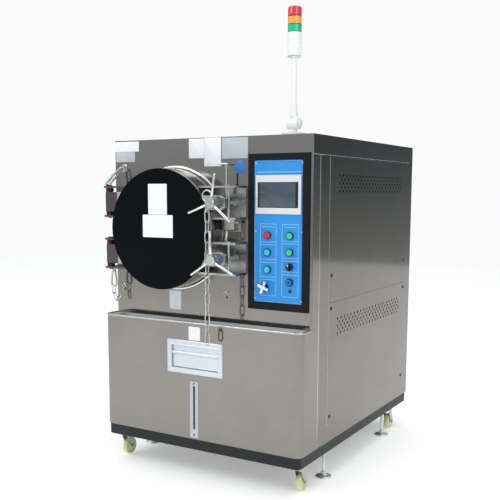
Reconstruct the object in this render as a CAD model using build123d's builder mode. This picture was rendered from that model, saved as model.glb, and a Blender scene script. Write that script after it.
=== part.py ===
from build123d import *
import os
from math import cos, radians, sin, sqrt

os.makedirs("parts", exist_ok=True)

# Steam test chamber, in millimetres. X runs across the front, Y from the front to the back and
# Z up from the floor. The origin is on the floor, under the middle of the whole machine.

# Cabinet
cabinet_width = 950.0
cabinet_depth = 1115.0  # upper cabinet, front face to rear wall
cabinet_top = 1390.0
ledge_top = 651.0  # bright lip of the lower box
steel_bottom = 166.0
plinth_bottom = 120.0
box_reach = 85.0  # how far the lower box stands in front of the upper face
plinth_inset = 5.0
sheet = 2.0
seam = 0.3  # gap between sheets that meet edge to edge
upper_corner = 9.0  # outer radius of the folded front corners
lower_corner = 28.0
wrap_depth = 75.0  # how far the front sheets turn back along the sides
cap_skirt = 74.0  # side height of the top cover

# Reaches that set the overall length
handle_reach = 180.0  # star handles, in front of the upper face
fitting_reach = 30.0  # pipe stubs, behind the rear wall

# Fits
running = 0.05  # radial, shaft in bore
sliding = 0.3
seat_gap = 0.3  # soft or moving piece at rest against its seat

half = cabinet_width / 2
face = (handle_reach - cabinet_depth - fitting_reach) / 2
rear = face + cabinet_depth
box_face = face - box_reach
inside = half - sheet

# Control frame on the right of the upper face
frame_left, frame_right = half - 277.0, half - 12.0
frame_clearance = 8.0  # clamp brackets to the control frame

# Pressure vessel and its round door, with its clamps beside the control frame
bracket_margin = 61.0  # clamp axis to the outer end of the plates
clamp_reach = 41.0  # rim of the flange to the clamp axis
flange_radius = 245.0
vessel_x = frame_left - frame_clearance - bracket_margin - clamp_reach - flange_radius
vessel_z = 1024.0
vessel_radius = 200.0
vessel_wall = 6.0
vessel_length = 560.0
head_depth = 100.0
flange_thickness = 24.0
flange_front = face - 90.0
skirt_wall = 4.0
trim_width = 13.0
trim_depth = trim_width / 2
shell_outer = vessel_radius + vessel_wall
gasket_inner = vessel_radius + 6.0
gasket_outer = vessel_radius + 26.0
door_radius = flange_radius - 1.0
door_gap = 3.0
door_thickness = 17.0
cover_thickness = 3.0
plug_radius = vessel_radius - 5.0
plug_depth = 12.0

# Clamps on the right and hinges on the left, at the same two heights
clamp_offset = 109.0  # above and below the vessel axis
clamp_x = vessel_x + flange_radius + clamp_reach
bracket_height = 130.0
bracket_plate = 8.0
bracket_front = flange_front
tie_offset = 27.0  # tie rod, beside the clamp axis
tie_radius = 4.5
ear_height = 56.0
drum_radius = 24.0
drum_front = face - 156.0
spindle_radius = 8.0
hub_radius = 20.5
star_reach = 112.0
star_bar_radius = 5.0
anchor_radius = 8.5
anchor_reach = 52.0  # anchor stud, in front of the face
hinge_x = vessel_x - flange_radius - 39.0
hinge_depth = 76.0  # hinge axis, in front of the face
knuckle_radius = 18.0
knuckle_height = 80.0
hinge_pin_radius = 8.0
hinge_plate_margin = 20.0  # hinge axis to the outer edge of the plates
lock_pin_radius = 4.0
lock_pin_offset = 9.0
lock_pin_depth = 42.0  # lock pin axis, in front of the face
lock_pin_rise = 85.0

door_back = flange_front - door_gap
door_front = door_back - door_thickness
cover_front = door_front - cover_thickness
hinge_y = face - hinge_depth
clamp_heights = {"upper": vessel_z + clamp_offset, "lower": vessel_z - clamp_offset}
star_angles = {"upper": 81.0, "lower": 93.0}

# Control panel
frame_low, frame_high = 717.0, 1321.0
frame_proud = 10.0
frame_side = 27.0
frame_cap = 26.0
frame_base = 30.0
plate_overlap = 9.0
plate_thickness = 4.0

# Lower box
filler_left, filler_right = -140.0, 129.0
filler_low, filler_high = 437.0, 575.0
filler_border = 22.0
filler_proud = 3.0
filler_depth = 15.0
gauge_x = -8.0
gauge_low, gauge_high = 173.0, 408.0

# Running gear
caster_x = half - 42.0
caster_front = face - 8.0
caster_rear = rear - 155.0
wheel_radius = 37.5
wheel_width = 24.0
wheel_lift = 2.0
caster_trail = 26.0
axle_radius = 4.0
kingpin_radius = 5.0
stem_top = steel_bottom - 6.0
foot_x = half - 33.0
foot_front = face + 203.0
foot_rear = rear - 249.0
foot_radius = 34.0
stem_radius = 6.0

# Signal tower
tower_x = half - 115.0
tower_y = face + 60.0
tower_radius = 26.0
lens_height = 29.0
lens_count = 3
pole_radius = 10.4
knuckle_rise = 45.0  # fold axis above the top cover
pole_top = 1681.0
tower_body_height = 89.0


def facing(y):
    """Sketch plane seen from the front: sketch x is X and sketch y is Z."""
    return Plane.XZ.offset(-y)


def block(x, y, z, mode=Mode.ADD):
    """Box between the low and high values given for each axis."""
    lows, highs = zip(x, y, z)
    with Locations(tuple((low + high) / 2 for low, high in zip(lows, highs))):
        Box(*(high - low for low, high in zip(lows, highs)), mode=mode)


def bar_y(x, z, radius, front, back, mode=Mode.ADD):
    """Round bar along Y."""
    with Locations(Location((x, (front + back) / 2, z), (90, 0, 0))):
        Cylinder(radius, back - front, mode=mode)


def bar_x(y, z, radius, left, right, mode=Mode.ADD):
    """Round bar along X."""
    with Locations(Location(((left + right) / 2, y, z), (0, 90, 0))):
        Cylinder(radius, right - left, mode=mode)


def bar_z(x, y, radius, low, high, mode=Mode.ADD):
    """Round bar along Z."""
    with Locations((x, y, (low + high) / 2)):
        Cylinder(radius, high - low, mode=mode)


def front_wrap(front, corner, low, high):
    """Folded sheet: a front wall whose two ends turn back along the sides."""
    back = face + wrap_depth
    with BuildSketch(Plane.XY.offset(low)) as outline:
        with Locations((0, (front + back) / 2)):
            Rectangle(cabinet_width, back - front)
        fillet(outline.vertices().group_by(Axis.Y)[0], corner)
    with BuildSketch(Plane.XY.offset(low)) as hollow:
        with Locations((0, (front + sheet + back) / 2)):
            Rectangle(cabinet_width - 2 * sheet, back - front - sheet)
        fillet(hollow.vertices().group_by(Axis.Y)[0], corner - sheet)
    extrude(outline.sketch, amount=high - low)
    extrude(hollow.sketch, amount=high - low, mode=Mode.SUBTRACT)


# Base frame: black plinth of flat tube with two cross members
plinth_tube = 62.0
plinth_half = half - plinth_inset
plinth_front = box_face + plinth_inset
plinth_rear = rear - plinth_inset
plinth_mid = (plinth_front + plinth_rear) / 2
window_length = (plinth_rear - plinth_front - 4 * plinth_tube) / 3
caster_places = [(x, y) for y in (caster_front, caster_rear) for x in (-caster_x, caster_x)]
foot_places = [(x, y) for y in (foot_front, foot_rear) for x in (-foot_x, foot_x)]
place_names = ["front_left", "front_right", "rear_left", "rear_right"]

with BuildPart() as base_frame:
    with BuildSketch(Plane.XY.offset(plinth_bottom)) as plinth_outline:
        with Locations((0, plinth_mid)):
            Rectangle(2 * plinth_half, plinth_rear - plinth_front)
        fillet(plinth_outline.vertices().group_by(Axis.Y)[0], lower_corner - plinth_inset)
        with Locations((0, plinth_mid)):
            with GridLocations(0, window_length + plinth_tube, 1, 3):
                Rectangle(2 * (plinth_half - plinth_tube), window_length, mode=Mode.SUBTRACT)
        with Locations(*foot_places):
            Circle(stem_radius + running, mode=Mode.SUBTRACT)
        with Locations(*caster_places):
            Circle(kingpin_radius + running, mode=Mode.SUBTRACT)
    extrude(amount=steel_bottom - plinth_bottom)
base_frame.part.label = "base_frame"
export_step(base_frame.part, "parts/base_frame.step")

# Inner frame of square tube: posts, rails, and two cross rails with the plates that cradle the vessel
post = 40.0
cradle_half = 150.0
cradle_plate = 20.0
post_left, post_right = (-inside, -inside + post), (inside - post, inside)
post_front = (face + upper_corner, face + upper_corner + post)
post_back = (rear - sheet - post, rear - sheet)
rail_top = cabinet_top - sheet
middle_rail = 620.0

with BuildPart() as chassis_frame:
    for post_x in (post_left, post_right):
        for post_y in (post_front, post_back):
            block(post_x, post_y, (steel_bottom, rail_top))
        for rail_low in (steel_bottom, middle_rail - post, rail_top - post):
            block(post_x, (post_front[0], post_back[1]), (rail_low, rail_low + post))
    for rail_y in (post_front, post_back):
        for rail_low in (middle_rail - post, rail_top - post):
            block((post_left[0], post_right[1]), rail_y, (rail_low, rail_low + post))
    for cradle_y in (face + 120.0, face + 420.0):
        plate_y = (cradle_y + (post - cradle_plate) / 2, cradle_y + (post + cradle_plate) / 2)
        block((post_left[0], post_right[1]), (cradle_y, cradle_y + post), (middle_rail - post, middle_rail))
        block((vessel_x - cradle_half, vessel_x + cradle_half), plate_y, (middle_rail, vessel_z - cradle_half))
    bar_y(vessel_x, vessel_z, shell_outer, face, rear, mode=Mode.SUBTRACT)
chassis_frame.part.label = "chassis_frame"
export_step(chassis_frame.part, "parts/chassis_frame.step")

# Upper front sheet, which dips behind the drip tray, with the round hole for the vessel and the window behind the control plate
lip_depth = 17.0
with BuildPart() as front_panel:
    front_wrap(face, upper_corner, ledge_top, cabinet_top)
    block((-inside, inside), (face, face + sheet), (ledge_top - lip_depth, ledge_top))
    bar_y(vessel_x, vessel_z, flange_radius, face - sheet, face + 2 * sheet, mode=Mode.SUBTRACT)
    block(
        (frame_left + frame_side + 12, frame_right - frame_side - 12),
        (face - sheet, face + 2 * sheet),
        (frame_low + frame_base + 12, frame_high - frame_cap - 12),
        mode=Mode.SUBTRACT,
    )
front_panel.part.label = "front_panel"
export_step(front_panel.part, "parts/front_panel.step")

# Lower front sheet with rounded corners, a hemmed lip, and openings for the filler and the gauge
filler_x = (filler_left + filler_right) / 2
filler_z = (filler_low + filler_high) / 2
filler_inner_width = filler_right - filler_left - 2 * filler_border
filler_inner_height = filler_high - filler_low - 2 * filler_border
filler_wall = 2.0
gauge_slot_width = 10.0
gauge_slot_low, gauge_slot_high = gauge_low + 36.0, gauge_high - 18.0
lip_width = 9.0

with BuildPart() as lower_front_cover:
    front_wrap(box_face, lower_corner, steel_bottom, ledge_top)
    with BuildSketch(Plane.XY.offset(ledge_top - sheet)) as lip:
        with Locations((0, (box_face + face) / 2)):
            Rectangle(cabinet_width - 2 * sheet, box_reach - 2 * sheet)
        fillet(lip.vertices().group_by(Axis.Y)[0], lower_corner - sheet)
        with Locations((0, (box_face + face) / 2)):
            Rectangle(cabinet_width - 2 * sheet - 2 * lip_width, box_reach - 2 * sheet, mode=Mode.SUBTRACT)
    with BuildSketch(Plane.XY.offset(ledge_top - sheet)) as front_lip:
        with Locations((0, box_face + sheet + lip_width / 2)):
            Rectangle(cabinet_width - 2 * lower_corner, lip_width)
    extrude(lip.sketch + front_lip.sketch, amount=sheet)
    block(
        (filler_x - filler_inner_width / 2 - filler_wall, filler_x + filler_inner_width / 2 + filler_wall),
        (box_face - sheet, box_face + 2 * sheet),
        (filler_z - filler_inner_height / 2 - filler_wall, filler_z + filler_inner_height / 2 + filler_wall),
        mode=Mode.SUBTRACT,
    )
    block(
        (gauge_x - gauge_slot_width / 2, gauge_x + gauge_slot_width / 2),
        (box_face - sheet, box_face + 2 * sheet),
        (gauge_slot_low, gauge_slot_high),
        mode=Mode.SUBTRACT,
    )
lower_front_cover.part.label = "lower_front_cover"
export_step(lower_front_cover.part, "parts/lower_front_cover.step")

# Drip tray: folded pan that lies in the ledge in front of the vessel
tray_floor = ledge_top - lip_depth
tray_end = half - 43.0
tray_front = box_face + sheet + lip_width
with BuildPart() as drip_tray:
    block((-inside, inside), (box_face + lower_corner, face), (ledge_top - 2 * sheet, ledge_top - sheet))
    block((-tray_end, tray_end), (tray_front, face), (tray_floor - sheet, ledge_top - sheet))
    block(
        (-tray_end + sheet, tray_end - sheet),
        (tray_front + sheet, face - sheet),
        (tray_floor, ledge_top),
        mode=Mode.SUBTRACT,
    )
drip_tray.part.label = "drip_tray"
export_step(drip_tray.part, "parts/drip_tray.step")

# Top cover: flat sheet with skirts that hang down over the sides and the back
cap_bottom = cabinet_top - cap_skirt
with BuildPart() as top_cover:
    with BuildSketch(Plane.XY.offset(cabinet_top)) as lid:
        with Locations((0, (face + sheet + rear) / 2)):
            Rectangle(2 * inside, rear - face - sheet)
        fillet(lid.vertices().group_by(Axis.Y)[0], upper_corner - sheet)
    extrude(amount=-sheet)
    for side in (-1, 1):
        block(sorted((side * inside, side * half)), (face + wrap_depth, rear), (cap_bottom, cabinet_top))
    block((-half, half), (rear - sheet, rear), (cap_bottom, cabinet_top))
top_cover.part.label = "top_cover"
export_step(top_cover.part, "parts/top_cover.step")

# Side walls, each with two windows that the screwed access panels close, and the rear wall
panel_front, panel_back = face + 150.0, rear - 55.0
panel_split = 738.0
panel_seam = 3.0
panel_top = cap_bottom - 6.0
panel_low = 235.0
panel_thickness = 1.5
window_margin = 50.0
panel_spans = {"upper": (panel_split + panel_seam / 2, panel_top), "lower": (panel_low, panel_split - panel_seam / 2)}
screw_radius = 3.0
screw_front, screw_back = face + 175.0, rear - 92.0
screw_heights = {"upper": (846.0, 1287.0), "lower": (271.0, 714.0)}
screw_places = [(y, z) for span in screw_heights.values() for z in span for y in (screw_front, screw_back)]

fitting_x = {"drain": -300.0, "inlet": -180.0, "exhaust": 60.0, "gland": 320.0}
fitting_z = {"drain": 240.0, "inlet": 240.0, "exhaust": 300.0, "gland": 260.0}
fitting_radius = {"drain": 13.0, "inlet": 13.0, "exhaust": 24.0, "gland": 16.0}
fitting_bore = {"drain": 8.0, "inlet": 8.0, "exhaust": 19.0, "gland": 9.0}
rear_vent_width, rear_vent_height = 300.0, 6.0
rear_vent_pitch = 14.0
rear_vent_count = 12
rear_vent_low = 980.0
with BuildPart() as outer_walls:
    for side in (-1, 1):
        wall_x = sorted((side * inside, side * half))
        block(wall_x, (face + wrap_depth, rear), (steel_bottom, cap_bottom))
        for low, high in panel_spans.values():
            window_y = (panel_front + window_margin, panel_back - window_margin)
            block(wall_x, window_y, (low + window_margin, high - window_margin), mode=Mode.SUBTRACT)
        for y, z in screw_places:
            bar_x(y, z, screw_radius, wall_x[0], wall_x[1], mode=Mode.SUBTRACT)
    block((-inside + seam, inside - seam), (rear - sheet, rear), (steel_bottom, cap_bottom))
    for name in fitting_x:
        bar_y(fitting_x[name], fitting_z[name], fitting_radius[name], rear - sheet, rear, mode=Mode.SUBTRACT)
    for index in range(rear_vent_count):
        low = rear_vent_low + index * rear_vent_pitch
        block(
            (-rear_vent_width / 2, rear_vent_width / 2), (rear - sheet, rear), (low, low + rear_vent_height),
            mode=Mode.SUBTRACT,
        )
outer_walls.part.label = "outer_walls"
export_step(outer_walls.part, "parts/outer_walls.step")

# Access panels, two on each side. The right ones carry the staggered vent slots
vent_rows = 5
vent_columns = 21
vent_pitch = 35.0
vent_row_pitch = 15.5
slot_width = 9.0
slot_height = 14.0
slot_outline = [
    (0, slot_height / 2), (-slot_width / 2, slot_height / 4), (-slot_width / 2, -slot_height / 4),
    (0, -slot_height / 2), (slot_width / 2, -slot_height / 4), (slot_width / 2, slot_height / 4),
]
vent_middles = {"upper": 1209.0, "lower": 634.0}
vent_y = face + 598.0


def vent_slots(middle):
    """Rows of upright slots with pointed ends, every other row set half a pitch along."""
    with BuildSketch(Plane.YZ.offset(half)) as slots:
        for row in range(vent_rows):
            shift = vent_pitch / 4 if row % 2 else -vent_pitch / 4
            with Locations((vent_y + shift, middle + (row - (vent_rows - 1) / 2) * vent_row_pitch)):
                with GridLocations(vent_pitch, 0, vent_columns, 1):
                    Polygon(*slot_outline)
    return slots.sketch


with BuildPart() as access_panels:
    for side in (-1, 1):
        panel_x = sorted((side * half, side * (half + panel_thickness)))
        for low, high in panel_spans.values():
            block(panel_x, (panel_front, panel_back), (low, high))
        for y, z in screw_places:
            bar_x(y, z, screw_radius, panel_x[0], panel_x[1], mode=Mode.SUBTRACT)
    for middle in vent_middles.values():
        extrude(vent_slots(middle), amount=panel_thickness, mode=Mode.SUBTRACT)
access_panels.part.label = "access_panels"
export_step(access_panels.part, "parts/access_panels.step")

# Black pan-head screws of the access panels, one group of separate solids
head_radius = 6.5
head_height = 2.5
screw_length = 12.0
with BuildPart() as panel_screws:
    for side in (-1, 1):
        seat = half + panel_thickness
        for y, z in screw_places:
            shank = sorted((side * (seat - screw_length), side * seat))
            head = sorted((side * seat, side * (seat + head_height)))
            bar_x(y, z, screw_radius, shank[0], shank[1])
            bar_x(y, z, head_radius, head[0], head[1])
panel_screws.part.label = "panel_screws"
export_step(panel_screws.part, "parts/panel_screws.step")

# Pipe stubs and the cable gland on the rear wall
fitting_inside = 40.0
collar = 10.0
nut_wall = 8.0
with BuildPart() as wall_fittings:
    for name in fitting_x:
        x, z = fitting_x[name], fitting_z[name]
        bar_y(x, z, fitting_radius[name], rear - fitting_inside, rear + fitting_reach)
        with BuildSketch(facing(rear)) as flats:
            with Locations((x, z)):
                RegularPolygon(fitting_radius[name] + nut_wall, 6)
        extrude(flats.sketch, amount=-collar)
        bar_y(x, z, fitting_bore[name], rear - fitting_inside, rear + fitting_reach, mode=Mode.SUBTRACT)
wall_fittings.part.label = "wall_fittings"
export_step(wall_fittings.part, "parts/wall_fittings.step")


def vessel_ring(front, back, outer, inner):
    """Ring about the vessel axis between two depths."""
    with BuildSketch(facing(back)) as ring:
        with Locations((vessel_x, vessel_z)):
            Circle(outer)
            Circle(inner, mode=Mode.SUBTRACT)
    extrude(ring.sketch, amount=back - front)


# Pressure vessel: a drawn cylinder with a dished end, open at the front
head_start = flange_front + vessel_length
vessel_axis = Axis((vessel_x, 0, vessel_z), (0, 1, 0))
with BuildPart() as vessel_shell:
    with BuildSketch(Plane.YZ.offset(vessel_x)) as wall_profile:
        with BuildLine():
            inner_bottom = (flange_front, vessel_z + vessel_radius)
            outer_bottom = (flange_front, vessel_z + shell_outer)
            Line(inner_bottom, outer_bottom)
            Line(outer_bottom, (head_start, vessel_z + shell_outer))
            EllipticalCenterArc((head_start, vessel_z), head_depth + vessel_wall, shell_outer, start_angle=0, arc_size=90)
            Line((head_start + head_depth + vessel_wall, vessel_z), (head_start + head_depth, vessel_z))
            EllipticalCenterArc((head_start, vessel_z), head_depth, vessel_radius, start_angle=0, arc_size=90)
            Line((head_start, vessel_z + vessel_radius), inner_bottom)
        make_face()
    revolve(axis=vessel_axis)
vessel_shell.part.label = "vessel_shell"
export_step(vessel_shell.part, "parts/vessel_shell.step")

# Mouth flange with the polished skirt that shows between the door and the cabinet
with BuildPart() as vessel_flange:
    vessel_ring(flange_front, flange_front + flange_thickness, flange_radius, shell_outer)
    vessel_ring(flange_front + flange_thickness, face + 12.0, flange_radius, flange_radius - skirt_wall)
vessel_flange.part.label = "vessel_flange"
export_step(vessel_flange.part, "parts/vessel_flange.step")

# Half-round trim ring over the joint between the skirt and the front sheet
with BuildPart() as trim_ring:
    with BuildSketch(Plane.YZ.offset(vessel_x)) as bead:
        with BuildLine():
            Line((face, vessel_z + flange_radius), (face, vessel_z + flange_radius + trim_width))
            ThreePointArc(
                (face, vessel_z + flange_radius + trim_width),
                (face - trim_depth, vessel_z + flange_radius + trim_width / 2),
                (face, vessel_z + flange_radius),
            )
        make_face()
    revolve(axis=vessel_axis)
trim_ring.part.label = "trim_ring"
export_step(trim_ring.part, "parts/trim_ring.step")

# Specimen rack: two perforated shelves on four rails, free to slide out of the vessel
rack_front = flange_front + 40.0
rack_back = head_start - 30.0
shelf_half = 150.0
shelf_heights = (vessel_z - 114.0, vessel_z + 16.0)
shelf_thickness = 2.0
rail_radius = 4.0
hole_pitch = 60.0
hole_radius = 9.0
with BuildPart() as specimen_rack:
    for height in shelf_heights:
        with BuildSketch(Plane.XY.offset(height)) as shelf:
            with Locations((vessel_x, (rack_front + rack_back) / 2)):
                Rectangle(2 * shelf_half, rack_back - rack_front)
                with GridLocations(hole_pitch, hole_pitch, 4, 7):
                    RegularPolygon(hole_radius, 6, mode=Mode.SUBTRACT)
        extrude(amount=shelf_thickness)
    for side in (-1, 1):
        rail_x = vessel_x + side * (shelf_half - rail_radius)
        for y in (rack_front + 20, rack_back - 20):
            foot = vessel_z - sqrt(vessel_radius**2 - shelf_half**2)
            block(
                (rail_x - rail_radius, rail_x + rail_radius), (y - rail_radius, y + rail_radius),
                (foot, shelf_heights[1] + shelf_thickness),
            )
specimen_rack.part.label = "specimen_rack"
export_step(specimen_rack.part, "parts/specimen_rack.step")


# Door weldment: disc with clamp ears, hinge arms, a plug that centres in the vessel and two sleeves
ear_reach = 29.0  # clamp axis to the end of the ear
ear_corner = 24.0
arm_foot = 55.0  # hinge axis to where the arm is at full thickness
arm_height = clamp_offset + knuckle_height / 2
arm_end = vessel_x - sqrt(door_radius**2 - arm_height**2) - hinge_x + 5.0
with BuildPart() as door_plate:
    with BuildSketch(facing(door_back)) as door_outline:
        with Locations((vessel_x, vessel_z)):
            Circle(door_radius)
        for height in clamp_heights.values():
            with Locations(((vessel_x + clamp_x + ear_reach) / 2, height)):
                RectangleRounded(clamp_x + ear_reach - vessel_x, ear_height, ear_corner)
    extrude(door_outline.sketch, amount=door_thickness)
    for height in clamp_heights.values():
        with BuildSketch(Plane.XY.offset(height - knuckle_height / 2)) as arm:
            with BuildLine():
                Polyline(
                    (hinge_x, hinge_y),
                    (hinge_x, hinge_y - knuckle_radius),
                    (hinge_x + arm_foot, door_front),
                    (hinge_x + arm_end, door_front),
                    (hinge_x + arm_end, door_back),
                    (hinge_x + arm_foot / 2, door_back),
                    (hinge_x, hinge_y),
                )
            make_face()
            with Locations((hinge_x, hinge_y)):
                Circle(knuckle_radius)
        extrude(arm.sketch, amount=knuckle_height)
        bar_y(clamp_x, height, drum_radius, drum_front, door_front)
        low, high = height - knuckle_height, height + knuckle_height
        bar_z(hinge_x, hinge_y, hinge_pin_radius + running, low, high, mode=Mode.SUBTRACT)
        bar_y(clamp_x, height, spindle_radius + running, drum_front, door_back, mode=Mode.SUBTRACT)
    vessel_ring(door_back, door_back + plug_depth, plug_radius, plug_radius - 25.0)
door_plate.part.label = "door_plate"
export_step(door_plate.part, "parts/door_plate.step")

# Black cover disc on the front of the door
with BuildPart() as door_cover:
    bar_y(vessel_x, vessel_z, door_radius, cover_front, door_front)
    chamfer(door_cover.faces().sort_by(Axis.Y)[0].edges(), 1.0)
door_cover.part.label = "door_cover"
export_step(door_cover.part, "parts/door_cover.step")

# Silicone seal ring on the back of the door
with BuildPart() as door_gasket:
    vessel_ring(door_back, flange_front - seat_gap, gasket_outer, gasket_inner)
door_gasket.part.label = "door_gasket"
export_step(door_gasket.part, "parts/door_gasket.step")

# Star handles: a hub with three bars, turned to drive the spindle through its sleeve
hub_front = face - handle_reach
hub_back = drum_front - sliding
spindle_tip = face - anchor_reach - sliding
for level, height in clamp_heights.items():
    with BuildPart() as star_handle:
        bar_y(clamp_x, height, hub_radius, hub_front, hub_back)
        chamfer(star_handle.edges().filter_by(GeomType.CIRCLE), 2.0)
        bar_y(clamp_x, height, spindle_radius, hub_back, spindle_tip)
        for arm in range(3):
            turn = star_angles[level] + 120.0 * arm
            middle = star_reach / 2
            place = (
                clamp_x + middle * cos(radians(turn)),
                (hub_front + hub_back) / 2,
                height + middle * sin(radians(turn)),
            )
            with Locations(Location(place, (0, 90 - turn, 0))):
                Cylinder(star_bar_radius, star_reach)
    star_handle.part.label = f"star_handle_{level}"
    export_step(star_handle.part, f"parts/star_handle_{level}.step")


def bracket_plates(height, low_x, high_x):
    """Two level plates and a back plate on the front sheet."""
    top = height + bracket_height / 2
    bottom = height - bracket_height / 2
    block((low_x, high_x), (bracket_front, face), (top - bracket_plate, top))
    block((low_x, high_x), (bracket_front, face), (bottom, bottom + bracket_plate))
    block((low_x, high_x), (face - bracket_plate, face), (bottom, top))


def cut_to_skirt():
    """Cuts bracket plates to the round skirt and its trim ring."""
    bar_y(vessel_x, vessel_z, flange_radius, bracket_front, face, mode=Mode.SUBTRACT)
    bar_y(vessel_x, vessel_z, flange_radius + trim_width, face - trim_depth, face, mode=Mode.SUBTRACT)


# Hinge brackets on the left
with BuildPart() as hinge_brackets:
    for height in clamp_heights.values():
        bracket_plates(height, hinge_x - hinge_plate_margin, vessel_x)
        bar_z(hinge_x, hinge_y, hinge_pin_radius, height - bracket_height, height + bracket_height, mode=Mode.SUBTRACT)
    cut_to_skirt()
hinge_brackets.part.label = "hinge_brackets"
export_step(hinge_brackets.part, "parts/hinge_brackets.step")

# Bronze hinge pins with fixed collars above and below each door arm, and flat heads
collar_radius = 16.0
pin_head_height = 4.0
with BuildPart() as hinge_pins:
    for height in clamp_heights.values():
        arm_top = height + knuckle_height / 2 + sliding
        arm_bottom = height - knuckle_height / 2 - sliding
        plate_inner = bracket_height / 2 - bracket_plate
        pin_end = bracket_height / 2 + pin_head_height
        bar_z(hinge_x, hinge_y, hinge_pin_radius, height - pin_end, height + pin_end)
        bar_z(hinge_x, hinge_y, collar_radius, arm_top, height + plate_inner)
        bar_z(hinge_x, hinge_y, collar_radius, height - plate_inner, arm_bottom)
        bar_z(hinge_x, hinge_y, hinge_pin_radius + 3.0, height + bracket_height / 2, height + pin_end)
hinge_pins.part.label = "hinge_pins"
export_step(hinge_pins.part, "parts/hinge_pins.step")

# Clamp brackets on the right: each has an anchor stud with its nut, and a headed tie rod at the front
lock_pin_x = clamp_x - lock_pin_offset
lock_pin_y = face - lock_pin_depth
nut_depth = 6.0
tie_head = 4.0
with BuildPart() as clamp_brackets:
    for height in clamp_heights.values():
        low, high = height - bracket_height / 2, height + bracket_height / 2
        bracket_plates(height, vessel_x, clamp_x + bracket_margin)
        bar_y(clamp_x, height, anchor_radius, face - anchor_reach, face)
        with BuildSketch(facing(face - bracket_plate)) as nut:
            with Locations((clamp_x, height)):
                RegularPolygon(anchor_radius + 5.0, 6)
        extrude(nut.sketch, amount=nut_depth)
        bar_z(clamp_x + tie_offset, bracket_front + tie_radius + 2, tie_radius, low, high + tie_head)
        bar_z(clamp_x + tie_offset, bracket_front + tie_radius + 2, tie_radius + 3.0, high, high + tie_head)
    cut_to_skirt()
    lock_top = clamp_heights["upper"] + bracket_height / 2
    bar_z(lock_pin_x, lock_pin_y, lock_pin_radius + 4.0, lock_top - 28.0, lock_top)
    bar_z(lock_pin_x, lock_pin_y, lock_pin_radius + running, lock_top - 28.0, lock_top, mode=Mode.SUBTRACT)
clamp_brackets.part.label = "clamp_brackets"
export_step(clamp_brackets.part, "parts/clamp_brackets.step")

# Lock pin with a cross bar, lifted before the clamp is undone
with BuildPart() as lock_pin:
    bar_z(lock_pin_x, lock_pin_y, lock_pin_radius, lock_top - 55.0, lock_top + lock_pin_rise)
    bar_x(lock_pin_y, lock_top + lock_pin_rise, lock_pin_radius, lock_pin_x - 36.0, lock_pin_x + 8.0)
    bar_z(lock_pin_x, lock_pin_y, lock_pin_radius + 3.0, lock_top + sliding, lock_top + 6.0)
lock_pin.part.label = "lock_pin"
export_step(lock_pin.part, "parts/lock_pin.step")

# Interlock switch under the upper clamp bracket, with its cable nipple
with BuildPart() as interlock_switch:
    switch_top = clamp_heights["upper"] - bracket_height / 2
    block((clamp_x - 16, clamp_x + 28), (face - 46, face - 4), (switch_top - 44, switch_top))
    chamfer(interlock_switch.faces().sort_by(Axis.Z)[0].edges(), 3.0)
    block((clamp_x - 22, clamp_x + 34), (face - 4, face), (switch_top - 50, switch_top))
    bar_x(face - 25, switch_top - 12, 6.0, clamp_x + 28, clamp_x + 40)
interlock_switch.part.label = "interlock_switch"
export_step(interlock_switch.part, "parts/interlock_switch.step")


# Chain links are eight-sided here to keep the facet count low
link_length = 52.0
link_width = 26.0
link_wire = 6.0
link_pitch = link_length - 2 * link_wire


def link(centre, along, normal, length=link_length, width=link_width, wire=link_wire):
    """Flat closed link: long side along one direction, lying square to the normal."""
    with BuildSketch(Plane(origin=centre, x_dir=along, z_dir=normal)) as outline:
        Rectangle(length, width)
        chamfer(outline.vertices(), width * 0.3)
        with BuildSketch(mode=Mode.PRIVATE) as hole:
            Rectangle(length - 2 * wire, width - 2 * wire)
            chamfer(hole.vertices(), (width - 2 * wire) * 0.3)
        add(hole.sketch, mode=Mode.SUBTRACT)
    extrude(outline.sketch, amount=wire / 2, both=True)


# Safety chain that hangs from an eye on the upper clamp sleeve
chain_links = 14
eye_radius = 24.0
eye_wire = 6.0
eye_lean = 146.8
eye_place = drum_radius + eye_radius
eye_x = clamp_x + eye_place * cos(radians(eye_lean))
eye_z = clamp_heights["upper"] + eye_place * sin(radians(eye_lean))
chain_y = face - 133.0
with BuildPart() as safety_chain:
    bar_y(eye_x, eye_z, eye_radius, chain_y - eye_wire / 2, chain_y + eye_wire / 2)
    bar_y(eye_x, eye_z, eye_radius - eye_wire, chain_y - eye_wire, chain_y + eye_wire, mode=Mode.SUBTRACT)
    first_link = eye_z - eye_radius + eye_wire - link_pitch / 2
    for index in range(chain_links):
        centre = (eye_x, chain_y, first_link - index * link_pitch)
        link(centre, (0, 0, 1), (0, 1, 0) if index % 2 else (1, 0, 0))
safety_chain.part.label = "safety_chain"
export_step(safety_chain.part, "parts/safety_chain.step")

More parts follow.
